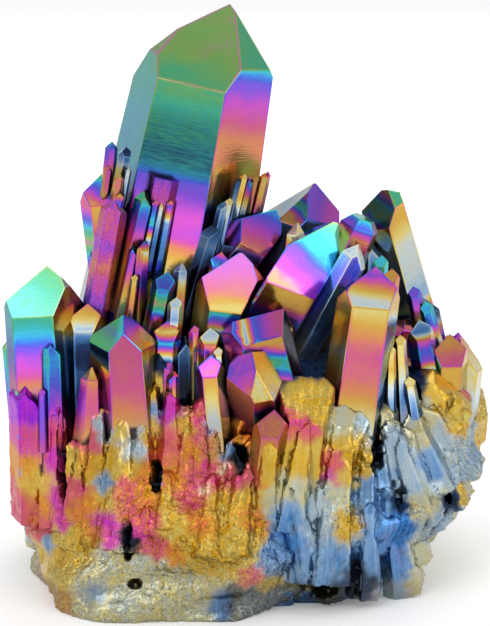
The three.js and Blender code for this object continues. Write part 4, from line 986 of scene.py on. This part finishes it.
# Where the wall swells: (bearing, height, reach round in degrees, reach up, how far out).
SWELLINGS = [(-115, 19, 34, 9, 4.5), (17, 30, 17, 8, 5.5), (147, 16, 26, 12, 4.5), (36, 21, 26, 11, 8)]
BALL = 40  # mm, the ball that the rock is shaped from
SKIN_CELL = 0.36  # mm, the mesh of the fused skin
SKIN_CREASE = math.radians(32)
ROCK_REACH = 30  # mm, where the rock's streaks are as far apart as a column's
FUSED_RIM = 0.7  # mm, how far the coloured rim reaches in from a fused column's edge
MOST_RAISED = 1.5  # mm, past which a crag's painted highlight and a groove's painted shade grow no stronger
ROCK_ROUGHNESS = 0.8
LEAST_COARSENESS = 0.22  # what the smoothest of the fused skin has
# how much painted shade the holes and the open seams take
HOLES_PAINTED_SHADE, CRACKS_PAINTED_SHADE = 0.9, 0.3
SEAM_SLOPE = 0.35  # how deep a seam is one cell away from its middle
SEAM_OPENS = (0.35, 0.95)  # below, a seam is closed, and above, wide open
LEVEL_TOP = (0.3, 0.6)  # how far up a surface looks where the grooves give way to a level top
SPOT_EDGE = (0.6, 1.25)  # radii, between which a spot fades out
LEAST_WEIGHT = 0.01
FRONT_HALF_ENDS = -4  # mm, where the skin is cut in two
UNDERSIDE = 6  # mm, how far the uncut rock goes on below the resting face
SQUARENESS = 2.5  # 2 is a true oval
FOOT_HEIGHT = 14  # mm, above this the wall no longer follows the resting outline

# Where the skin is grown over with small grains: (middle, radius each way) in mm.
GRAINED = [
    ((-13, -25, 17), (15, 9, 9)), ((-2, -26, 13), (9, 8, 7)), ((-31, -18, 13), (9, 9, 4)),
    ((38, -6, 22), (5, 12, 12)), ((-7, -22, 30), (3.5, 5, 5)), ((-16, -19, 31), (3, 5, 4)),
    ((17, -23, 17), (4, 5, 4)),
]
# Where it is a plain smooth face instead.
SMOOTH_FACETS = [
    ((-34, -17, 9), (4, 5, 6)), ((16, -21, 24), (2.5, 4, 4)), ((24, -21, 12), (5, 6, 7)),
    ((-4, -28, 3), (3, 4, 3)), ((-24, -25, 4), (3, 4, 3)), ((30, -14, 24), (6, 6, 7)),
    ((-37, -14, 28), (6, 6, 8)), ((4, -26, 34), (3, 4, 3)), ((11, -24, 37), (5, 5, 5)),
]
# Where a broken face has level steps in it.
TERRACED = [((12, -24, 36), (6, 6, 7)), ((-8, -22, 33), (3, 4, 4))]
# Holes into the dark between the columns.
PITS = [
    ((-19.3, -24, 13.5), (0.9, 4, 3.4)), ((-1, -23, 27), (1.5, 5, 2.3)), ((4.2, -22, 34), (1.4, 4, 2.6)),
    ((13, -20, 5), (3.6, 5, 2.8)), ((-14.5, -22, 23.5), (0.8, 3, 2.4)), ((22.5, -19, 26), (1, 4, 3)),
    ((35, -12, 17), (0.4, 2.5, 1)), ((-30.5, -17, 24), (0.7, 4, 9)), ((-18, -28, 6.2), (1.4, 3, 0.8)),
]

# The rock's own crags, and how the skin is then worn, in this order: the size of each pattern's cells,
# its depth, the points it works on, and how far it is drawn out down a column. Sizes are in mm.
ROCK_CRAG = {"cell": 5, "depth": 1.5}
WEAR = {
    "pits_floor": {"cell": 2, "depth": -4.5, "group": "pits", "middle": 0},
    "crack_floor": {"cell": 2, "depth": -0.6, "group": "cracks", "middle": 0},
    "lumps": {"cell": 2.6, "depth": 0.45, "group": "rough"},
    "clusters": {"cell": 1.2, "depth": 0.6, "group": "rough", "along": 3.2},
    "grains": {"cell": 0.62, "depth": -0.5, "group": "rough", "basis": "VORONOI_F1", "detail": 1},
    "terraces": {
        "cell": 4, "depth": 0.4, "group": "terraced", "along": 1.3, "basis": "VORONOI_F1", "detail": 0},
    "wide_grooves": {"cell": 2.2, "depth": 0.35, "group": "columns", "along": 18},
    "fine_grooves": {"cell": 0.8, "depth": 0.14, "group": "columns", "along": 6},
}


def wall_places(ball):
    """Each corner of a unit ball moved out to the rock's wall, in mm."""
    z = np.interp(ball[:, 2], (-1, 1), (-UNDERSIDE, WALL[-1][0]))
    angle = np.arctan2(ball[:, 1], ball[:, 0])
    bearing = np.degrees(angle)
    heights, *ways = zip(*WALL)
    left, right, front, back = (np.interp(z, heights, way) for way in ways)
    across = np.abs(np.cos(angle)) / np.where(np.cos(angle) < 0, left, right)
    along = np.abs(np.sin(angle)) / np.where(angle < 0, front, back)
    oval = (across**SQUARENESS + along**SQUARENESS) ** (-1 / SQUARENESS)
    resting = np.interp(bearing, *zip(*RESTING_OUTLINE))
    lift = smooth(z, 0, FOOT_HEIGHT)
    reach = resting * (1 - lift) + oval * lift
    for middle, height, span, tall, out in SWELLINGS:
        reach += out * np.exp(-(((bearing - middle) / span) ** 4) - ((z - height) / tall) ** 4)
    reach = np.where(z < 0, resting * np.clip(1 + z / UNDERSIDE, 0.2, 1), reach)
    # broad lobes round the wall, and the ball's poles closed
    reach += np.sin(5 * angle + 0.31 * z) + np.sin(8 * angle - 0.43 * z + 2) * np.cos(0.5 * z) - 0.5
    reach *= np.clip(np.hypot(ball[:, 0], ball[:, 1]) / 0.15, 0, 1)
    return np.stack([np.cos(angle) * reach, np.sin(angle) * reach, z], 1) - np.array(MIDDLE)


def crag(obj, name, cell, depth, basis="BLENDER_ORIGINAL", group="", detail=2, along=None, middle=0.5):
    """Raises and lowers a piece's surface by a pattern: its cells and its depth are in mm.

    With middle at 0 it only goes one way. With along, the pattern is drawn out that far down each
    column instead of being even all ways.
    """
    pattern = bpy.data.textures.new(f"{obj.name}_{name}", "CLOUDS")
    pattern.noise_basis, pattern.noise_depth, pattern.noise_scale = basis, detail, 1
    push = obj.modifiers.new(name, "DISPLACE")
    push.texture, push.strength, push.mid_level, push.vertex_group = pattern, depth * MM, middle, group
    if along:
        push.texture_coords, push.uv_layer = "UV", name
        down_columns(obj.data, name, cell, along)
        field = None
    else:
        field = bpy.data.objects.new(f"{name}_field", None)
        bpy.context.scene.collection.objects.link(field)
        field.scale = (cell * MM, cell * MM, cell * MM)
        bpy.context.view_layer.update()
        push.texture_coords, push.texture_coords_object = "OBJECT", field
    select_only(obj)
    bpy.ops.object.modifier_apply(modifier=push.name)
    if field:
        bpy.data.objects.remove(field)


def down_columns(mesh, name, cell, along):
    """A layout of the surface that runs down each column: its place across it, and down it."""
    aside, fall, seed = read(mesh.attributes["grain"].data, "vector", 3).T
    corner = read(mesh.loops, "vertex_index", kind=int)
    layout = np.stack([aside / (2 * cell), fall / (2 * along) + 5 * seed], 1)[corner]
    mesh.uv_layers.new(name=name)
    mesh.uv_layers[name].data.foreach_set("uv", layout.ravel())


def weigh(obj, name, weights):
    """A vertex group with a weight for each point."""
    group = obj.vertex_groups.new(name=name)
    for n in np.nonzero(weights > LEAST_WEIGHT)[0].tolist():
        group.add([n], float(weights[n]), "REPLACE")


def bumps(place, spots):
    """1 in the middle of each spot, falling to 0 round its edge: spots are (middle, radius) in mm."""
    found = np.zeros(len(place))
    for middle, radius in spots:
        far = np.sqrt((((place - np.array(middle)) / np.array(radius)) ** 2).sum(1))
        found = np.maximum(found, 1 - smooth(far, *SPOT_EDGE))
    return found


class Sources:
    """The shapes that the foundation was fused from, to tell which of them a point belongs to."""

    def __init__(self, crystals, blanks, rock):
        self.crystals = crystals
        corners, faces, self.owner = [], [], []
        for n, obj in enumerate([*blanks, rock]):
            start = len(corners)
            corners += [vertex.co.copy() for vertex in obj.data.vertices]
            for face in obj.data.polygons:
                faces.append([start + corner for corner in face.vertices])
                self.owner.append(n)
        self.owner = np.array(self.owner)
        self.tree = BVHTree.FromPolygons(corners, faces)

    def mark(self, mesh):
        """Writes the direction of growth on each point.

        Gives back each point's place in mm, its owner, the shade of its face and how near it is to an edge.
        """
        place = read(mesh.vertices, "co", 3) / MM
        nearest = [self.tree.find_nearest(vertex.co) for vertex in mesh.vertices]
        owner = self.owner[[found[2] for found in nearest]]
        facing_way = np.array([tuple(found[1]) for found in nearest])
        # the rock's own streaks run straight down
        angle = np.arctan2(place[:, 1], place[:, 0])
        grain = np.stack([ROCK_REACH * angle, -place[:, 2], np.zeros(len(place))], 1)
        shade, edge = np.full(len(place), 0.5), np.zeros(len(place))
        for n, crystal in enumerate(self.crystals):
            mine = owner == n
            normals, points, across = crystal.planes()
            facing = (facing_way[mine] @ normals.T).argmax(1)
            tip = np.array(crystal.tip)
            grain[mine, 0] = ((place[mine] - tip) * across[facing]).sum(1)
            grain[mine, 1] = (tip - place[mine]) @ np.array(crystal.up)
            grain[mine, 2] = crystal.seed()
            shade[mine] = crystal.varied()[facing]
            slack = (points * normals).sum(1) - place[mine] @ normals.T
            slack[np.arange(len(facing)), facing] = FAR_AWAY
            edge[mine] = np.clip(1 - slack.min(1) / FUSED_RIM, 0, 1)
        write(mesh, "grain", grain, "POINT")
        return place, owner, shade, edge


def add_rock_blank():
    bpy.ops.object.select_all(action="DESELECT")
    bpy.ops.mesh.primitive_ico_sphere_add(subdivisions=6, radius=BALL * MM, location=(0, 0, 0))
    rock = bpy.context.object
    rock.name = "rock"
    ball = read(rock.data.vertices, "co", 3) / (BALL * MM)
    rock.data.vertices.foreach_set("co", (wall_places(ball) * MM).ravel())
    rock.data.update()
    crag(rock, "crag", **ROCK_CRAG)
    return rock


def fused_skin(rock, blanks):
    """The rock and the columns joined and made one skin."""
    skin = join([rock, *blanks], "foundation")
    fuse = skin.modifiers.new("fuse", "REMESH")
    fuse.mode, fuse.voxel_size = "VOXEL", SKIN_CELL * MM
    select_only(skin)
    bpy.ops.object.modifier_apply(modifier=fuse.name)
    return skin


def add_foundation(crystals):
    """The lower half: columns and rock fused into one skin, then worn, grooved, grained and pitted."""
    blanks = []
    for crystal in crystals:
        blanks.append(sawn(crystal))
        bpy.ops.object.mode_set(mode="OBJECT")
    rock = add_rock_blank()
    sources = Sources(crystals, blanks, rock)
    skin = fused_skin(rock, blanks)
    place, owner, shade, edge = sources.mark(skin.data)
    plain, holes, stepped = (bumps(place, spots) for spots in (SMOOTH_FACETS, PITS, TERRACED))
    is_rock = owner == len(crystals)
    rough = np.maximum(is_rock * ROCK_ROUGHNESS, bumps(place, GRAINED)) * (1 - 0.8 * plain)
    cracks = seams(skin.data, owner, place) * (1 - 0.85 * rough)
    paint_foundation(skin.data, place, shade, edge, rough, holes, cracks, stepped)
    before, outward = points_and_normals(skin.data)
    level = smooth(outward[:, 2], *LEVEL_TOP)
    weigh(skin, "cracks", cracks)
    weigh(skin, "rough", rough)
    weigh(skin, "columns", (1 - rough) * (1 - 0.8 * plain) * (1 - 0.9 * level) * (1 - 0.9 * stepped))
    weigh(skin, "pits", holes)
    weigh(skin, "terraced", stepped)
    for name, worn in WEAR.items():
        crag(skin, name, **worn)
    after, _ = points_and_normals(skin.data)
    raised = ((after - before) * outward).sum(1)
    write(skin.data, "raised", np.clip(raised, -MOST_RAISED, MOST_RAISED), "POINT")
    bpy.ops.object.mode_set(mode="EDIT")
    saw(Vector((0, 0, 0)), DOWN)
    bpy.ops.object.mode_set(mode="OBJECT")
    keep_inside(skin.data)
    while skin.data.uv_layers:
        skin.data.uv_layers.remove(skin.data.uv_layers[0])
    select_only(skin)
    bpy.ops.object.shade_smooth_by_angle(angle=SKIN_CREASE)
    return in_halves(skin)


def paint_foundation(mesh, place, shade, edge, rough, holes, cracks, stepped):
    """Writes the skin's colours and coarseness on its points."""
    shares = patch_shares(place)
    varied = TONE_VARIES * (shade - 0.5)
    # painted shade in the holes and the open seams between columns
    dark = HOLES_PAINTED_SHADE * holes + CRACKS_PAINTED_SHADE * cracks
    write(mesh, "tone", patch_tone(shares) + varied - dark, "POINT")
    write(mesh, "rim", 0.5 * edge, "POINT")
    coarse = LEAST_COARSENESS + (1 - LEAST_COARSENESS) * rough
    write(mesh, "coarse", np.maximum(coarse, FUSED_COARSENESS * stepped), "POINT")
    write(mesh, "marks", 0.4 + 1.6 * stepped, "POINT")
    write(mesh, "low", np.ones(len(place)), "POINT")
    write(mesh, "thin", patch_shades(shares, THINNER), "POINT")
    write(mesh, "thick", patch_shades(shares, THICKER), "POINT")


def seams(mesh, owner, place):
    """1 along the lines where one column meets the next, wherever the seam is open."""
    one, two = read(mesh.edges, "vertices", 2, int).T
    between = owner[one] != owner[two]
    seam = np.zeros(len(owner))
    seam[one[between]] = seam[two[between]] = 1
    wider = seam.copy()
    np.maximum.at(wider, one, SEAM_SLOPE * seam[two])
    np.maximum.at(wider, two, SEAM_SLOPE * seam[one])
    opening = 0.5 + 0.5 * np.sin(0.45 * place[:, 2] + 1.7 * owner + 0.3 * place[:, 0])
    return wider * smooth(opening, *SEAM_OPENS)


def points_and_normals(mesh):
    """Each point's place in mm and the way its surface faces."""
    return read(mesh.vertices, "co", 3) / MM, read(mesh.vertices, "normal", 3)


def in_halves(skin):
    """The skin cut in two, and capped, through its middle."""
    select_only(skin)
    bpy.ops.object.duplicate()
    back = bpy.context.object
    for half, name, way in ((skin, "foundation_front", 1), (back, "foundation_back", -1)):
        half.name = half.data.name = name
        select_only(half)
        bpy.ops.object.mode_set(mode="EDIT")
        saw(Vector((0, FRONT_HALF_ENDS, 0)), Vector((0, way, 0)))
        bpy.ops.object.mode_set(mode="OBJECT")
    return [skin, back]


# ---- Recesses --------------------------------------------------------------------------------

RECESS_REACH = 5.0  # mm, how far a neighbour still casts painted shade
RECESS_RAYS = 14
RECESS_LIFT = 0.12  # mm, how far off the surface each ray starts


def ray_fan():
    """Directions spread evenly over the half ball about +Z, closer together near its pole."""
    rays = []
    for n in range(RECESS_RAYS):
        height = math.sqrt(1 - (n + 0.5) / RECESS_RAYS)
        ring, turn = math.sqrt(1 - height**2), n * math.pi * (3 - math.sqrt(5))
        rays.append(Vector((math.cos(turn) * ring, math.sin(turn) * ring, height)))
    return rays


def mark_recesses(pieces):
    """Writes on each piece how deep in a gap each point lies, for the painted shade between the crystals."""
    corners, faces = [], []
    for piece in pieces:
        start = len(corners)
        corners += [vertex.co.copy() for vertex in piece.data.vertices]
        faces += [[start + n for n in face.vertices] for face in piece.data.polygons]
    tree = BVHTree.FromPolygons(corners, faces)
    fan = ray_fan()
    for piece in pieces:
        depth = np.empty(len(piece.data.vertices), np.float32)
        for n, vertex in enumerate(piece.data.vertices):
            turn = vertex.normal.to_track_quat("Z", "Y")
            start = vertex.co + vertex.normal * RECESS_LIFT * MM
            found = 0.0
            for ray in fan:
                hit = tree.ray_cast(start, turn @ ray, RECESS_REACH * MM)
                if hit[3] is not None:
                    found += 1 - hit[3] / (RECESS_REACH * MM)
            depth[n] = found / RECESS_RAYS
        write(piece.data, "recess", depth, "POINT")


# ---- The coating -----------------------------------------------------------------------------

MIX_SHARE, MIX_FIRST, MIX_SECOND, MIX_RESULT = 0, 6, 7, 2  # a Mix node's sockets for colours
UP_AXIS = 2  # of Separate XYZ

WHITEST = (0.95, 0.95, 0.95, 1)
PAINTED_SHADE_DARK = (0.010, 0.014, 0.022, 1)  # painted shade: the colour that darker faces are painted towards
GAP_PAINTED_SHADE = (0.004, 0.007, 0.018, 1)  # painted shade deep between the crystals
GAP_SHADE_BEGINS_AND_ENDS = (0.26, 0.62)  # how deep a recess starts to take painted shade, and where it is darkest
FILM_RIM = 0.08  # how much thicker the film is at a crystal's edges
BARE_UP_TO = (4, 13)  # mm above the resting face, between which the coating sets in on the rock
ROCK_DARK, ROCK_PALE = (0.16, 0.15, 0.07, 1), (0.52, 0.46, 0.20, 1)


class Value:
    """One value in a material. Arithmetic on it adds Math nodes."""

    def __init__(self, paint, socket):
        self.paint, self.socket = paint, socket

    def math(self, operation, *values, clamp=False):
        settings = {"operation": operation, "use_clamp": clamp}
        return self.paint.node("ShaderNodeMath", settings, dict(enumerate(values)))

    def __add__(self, other):
        return self.math("ADD", self, other)

    def __radd__(self, other):
        return self.math("ADD", other, self)

    def __sub__(self, other):
        return self.math("SUBTRACT", self, other)

    def __rsub__(self, other):
        return self.math("SUBTRACT", other, self)

    def __mul__(self, other):
        return self.math("MULTIPLY", self, other)

    def __rmul__(self, other):
        return self.math("MULTIPLY", other, self)

    def held(self):
        """Kept between 0 and 1."""
        return self.math("ADD", self, 0, clamp=True)

    def step(self, low, high):
        """A smooth rise from 0 at low to 1 at high."""
        return self.paint.node("ShaderNodeMapRange", {"interpolation_type": "SMOOTHSTEP"}, {
            "Value": self, "From Min": low, "From Max": high})


class Paint:
    """The nodes of a material, or of the world."""

    def __init__(self, owner):
        self.owner = owner
        owner.use_nodes = True
        self.tree = owner.node_tree
        self.tree.nodes.clear()

    def node(self, kind, settings=None, inputs=None, output=0):
        """A new node: its settings are set first, then its inputs, and one output is given back."""
        node = self.tree.nodes.new(kind)
        for setting, value in (settings or {}).items():
            if setting == "stops":
                self.set_stops(node.color_ramp.elements, value)
            else:
                setattr(node, setting, value)
        for slot, value in (inputs or {}).items():
            if isinstance(value, Value):
                self.tree.links.new(value.socket, node.inputs[slot])
            else:
                node.inputs[slot].default_value = value
        return Value(self, node.outputs[output]) if node.outputs else None

    @staticmethod
    def set_stops(elements, stops):
        """A ramp's stops: (place, colour)."""
        while len(elements) < len(stops):
            elements.new(0.5)
        for element, (place, colour) in zip(elements, stops):
            element.position, element.color = place, (*colour, 1)

    def layer(self, name, output="Fac"):
        return self.node("ShaderNodeAttribute", {"attribute_name": name}, output=output)

    def noise(self, place, scale, detail, warp):
        return self.node("ShaderNodeTexNoise", {}, {
            "Vector": place, "Scale": scale, "Detail": detail, "Roughness": 0.55, "Distortion": warp})

    def streaks(self, grain, across, along, detail, warp):
        """Noise with its own scale across and along the direction of growth."""
        stretched = self.vector("MULTIPLY", {0: grain, 1: (across, along, 1)})
        return self.noise(stretched, 1.0, detail, warp)

    def vector(self, operation, inputs):
        return self.node("ShaderNodeVectorMath", {"operation": operation}, inputs)

    def mix(self, share, first, second):
        settings = {"data_type": "RGBA", "clamp_factor": True}
        inputs = {MIX_SHARE: share, MIX_FIRST: first, MIX_SECOND: second}
        return self.node("ShaderNodeMix", settings, inputs, MIX_RESULT)

    def film_colour(self, film):
        return self.node("ShaderNodeValToRGB", {"stops": list(FILM.values())}, {0: film})

    def finish(self, **inputs):
        """The shader itself, with what its sockets are given."""
        named = {slot.replace("_", " "): value for slot, value in inputs.items()}
        self.node("ShaderNodeOutputMaterial", {}, {0: self.node("ShaderNodeBsdfPrincipled", {}, named)})
        return self.owner


def aura_coating():
    """The thin metal film: clean on the crystals' faces, streaked and grained where they are fused, with
    painted light and shade laid over it.
    """
    paint = Paint(bpy.data.materials.new("aura_coating"))
    place = paint.vector("SCALE", {0: paint.node("ShaderNodeTexCoord", output="Object"), "Scale": 1 / MM})
    grain = paint.layer("grain", "Vector")
    film, tone, rim, marks = (paint.layer(name) for name in ("film", "tone", "rim", "marks"))
    coarse, recess, low, raised = (paint.layer(name) for name in ("coarse", "recess", "low", "raised"))

    cloud = paint.noise(place, scale=0.16, detail=3, warp=0.6)
    mottle = paint.noise(place, scale=1.2, detail=5, warp=0.8)
    speck = paint.noise(place, scale=2.4, detail=4, warp=0.2)
    streak = paint.streaks(grain, across=2.2, along=0.16, detail=4, warp=0.4)
    fibre = paint.streaks(grain, across=5.0, along=0.5, detail=3, warp=0.5)
    growth = paint.streaks(grain, across=0.16, along=1.8, detail=4, warp=2.2)

    # the film's own colour up on the crystals, and the mixed colours of the fused foundation
    uneven_film = (cloud - 0.5) * 0.08 + (growth - 0.5) * marks * 0.05 + (mottle - 0.5) * 0.03
    uneven_film = uneven_film + coarse * ((streak - 0.5) * 0.30 + (mottle - 0.5) * 0.16)
    clean = paint.film_colour((film + uneven_film + rim * FILM_RIM).held())
    banded = ((marks - 1) * low).held()
    share = 0.5 + (mottle - 0.5) * coarse * 2.4 + (streak - 0.5) * (1.3 - banded * 1.3)
    share = share + (growth - 0.5) * banded * 2.2 + (cloud - 0.5) * 1.2 + rim * 0.3 + raised * 0.3
    mixed = paint.mix(share.held(), paint.layer("thin", "Vector"), paint.layer("thick", "Vector"))
    mixed = paint.node("ShaderNodeHueSaturation", {}, {"Saturation": 1.14, "Color": mixed})
    colour = paint.mix(low, clean, mixed)

    # brighter and darker: streaks, painted glints and darker specks on the grains, painted highlight on
    # raised crags and painted shade in grooves, a faint painted highlight on the rims, and painted shade deep
    # in the hollows
    painted_glint_and_grain = (speck.step(0.60, 0.72) - speck.step(0.42, 0.28)) * coarse
    light = tone + coarse * (fibre - 0.5) * 0.6 + painted_glint_and_grain * 0.8 + raised * 0.35 + rim * 0.06
    light = light + (growth - 0.5) * marks * 0.34 + low * 0.10
    bright, dark = light.math("MAXIMUM", light, 0), (0 - light).held()
    colour = paint.vector("SCALE", {0: colour, "Scale": 0.85 + bright})
    colour = paint.vector("MINIMUM", {0: colour, 1: WHITEST[:3]})
    # paler faces are painted towards white as a painted highlight, darker ones towards painted shade
    colour = paint.mix(((bright - 0.65) * 0.45).held(), colour, WHITEST)
    colour = paint.mix((dark * 1.1).held(), colour, PAINTED_SHADE_DARK)
    # painted shade deep in the gaps between the crystals, from how closed in each point is
    gap = (recess - low * 0.10 - tone.held() * 0.3).step(*GAP_SHADE_BEGINS_AND_ENDS)
    colour = paint.mix(gap * 0.92, colour, GAP_PAINTED_SHADE)

    # the rock at the very foot is barely coated
    rock = paint.mix(speck.step(0.3, 0.7), ROCK_DARK, ROCK_PALE)
    height = paint.node("ShaderNodeSeparateXYZ", {}, {0: place}, UP_AXIS)
    bare = (1 - (height + (mottle - 0.5) * 9).step(*BARE_UP_TO)) * coarse * low * 0.5
    colour = paint.mix(bare, colour, rock)

    relief = coarse * (fibre * 0.5 + mottle * 0.5 + speck * 0.7) + growth * marks * 0.12
    normal = paint.node("ShaderNodeBump", {}, {"Strength": 0.5, "Distance": 0.3 * MM, "Height": relief})
    gloss = 0.13 + coarse * 0.14 + (mottle - 0.5) * coarse * 0.2
    return paint.finish(Base_Color=colour, Metallic=0.9, Roughness=gloss, Normal=normal)


# ---- Floor, light and camera -----------------------------------------------------------------

FLOOR_SIZE = 12  # m
FLOOR_PAINT, FLOOR_GLOW = (0.92, 0.92, 0.92, 1), 0.12
STUDIO_AIM = (0, 0, 0.045)  # m, where the lamps point
# Round soft lamps: (place, width) in metres and power in watts.
LAMPS = {
    "key": ((-0.55, -0.75, 0.85), 0.9, 3.4),
    "fill": ((0.85, -0.55, 0.40), 0.8, 2.0),
    "back": ((0.25, 0.90, 0.80), 0.9, 3.0),
}
# The studio's walls from level to overhead: white, with a greyer band between.
STUDIO_WALLS = [(0.0, (1.0, 1.0, 1.0)), (0.4, (0.75, 0.75, 0.77)), (1.0, (1.0, 1.0, 1.0))]

LENS, SENSOR = 120, 36  # mm
CAMERA_DISTANCE = 363  # mm
CAMERA_ELEVATION = math.radians(12)
CAMERA_AIM = Vector((0, 0, 46.5)) - MIDDLE  # mm


def add_floor():
    bpy.ops.object.select_all(action="DESELECT")
    bpy.ops.mesh.primitive_plane_add(size=FLOOR_SIZE, location=(0, 0, 0))
    floor = bpy.context.object
    floor.name = "floor"
    floor.data.materials.append(Paint(bpy.data.materials.new("pale_floor")).finish(
        Base_Color=FLOOR_PAINT, Roughness=0.9, Specular_IOR_Level=0.1,
        Emission_Color=(1, 1, 1, 1), Emission_Strength=FLOOR_GLOW))


def add_lamp(name, place, size, power):
    lamp = bpy.data.lights.new(name, "AREA")
    lamp.shape, lamp.size, lamp.energy = "DISK", size, power
    holder = bpy.data.objects.new(name, lamp)
    holder.location = place
    holder.rotation_euler = (Vector(STUDIO_AIM) - Vector(place)).to_track_quat("-Z", "Y").to_euler()
    bpy.context.scene.collection.objects.link(holder)


def add_studio():
    paint = Paint(bpy.data.worlds.new("studio"))
    way = paint.node("ShaderNodeTexCoord", output="Generated")
    height = paint.node("ShaderNodeSeparateXYZ", {}, {0: way}, UP_AXIS)
    walls = paint.node("ShaderNodeValToRGB", {"stops": STUDIO_WALLS}, {0: height})
    glow = paint.node("ShaderNodeBackground", {}, {"Color": walls, "Strength": 1.0})
    paint.node("ShaderNodeOutputWorld", {}, {0: glow})
    bpy.context.scene.world = paint.owner
    for name, (place, size, power) in LAMPS.items():
        add_lamp(name, place, size, power)


def add_camera():
    """Level with the middle of the cluster, a little above it, straight from the front."""
    camera = bpy.data.cameras.new("camera")
    camera.lens, camera.sensor_width = LENS, SENSOR
    camera.clip_start, camera.clip_end = 0.01, 50
    holder = bpy.data.objects.new("camera", camera)
    back = Vector((0, -math.cos(CAMERA_ELEVATION), math.sin(CAMERA_ELEVATION)))
    holder.location = CAMERA_AIM * MM + back * (CAMERA_DISTANCE * MM)
    holder.rotation_euler = (-back).to_track_quat("-Z", "Y").to_euler()
    bpy.context.scene.collection.objects.link(holder)
    bpy.context.scene.camera = holder


# ---- Everything ------------------------------------------------------------------------------

# Crystals of the upper pieces that are fused into the foundation too.
ALSO_FUSED = ("left_fused_a", "left_fused_b", "orange_column", "rough_gold_a", "rough_gold_b", "stepped")


def main():
    add_camera()
    add_studio()
    add_floor()
    pieces = []
    fused = []
    for name, crystals in PIECES.items():
        fused += [crystal for crystal in crystals if name == "fused_columns" or crystal.name in ALSO_FUSED]
        apart = [crystal for crystal in crystals if crystal not in fused]
        if apart:
            pieces.append(add_piece(name, apart))
    pieces += add_foundation(fused + FUSED_LOW)
    mark_recesses(pieces)
    coating = aura_coating()
    for piece in pieces:
        piece.data.materials.clear()
        piece.data.materials.append(coating)
        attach(piece, BODY)
        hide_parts(NODE)
    bpy.context.scene.view_settings.view_transform = "Standard"


main()
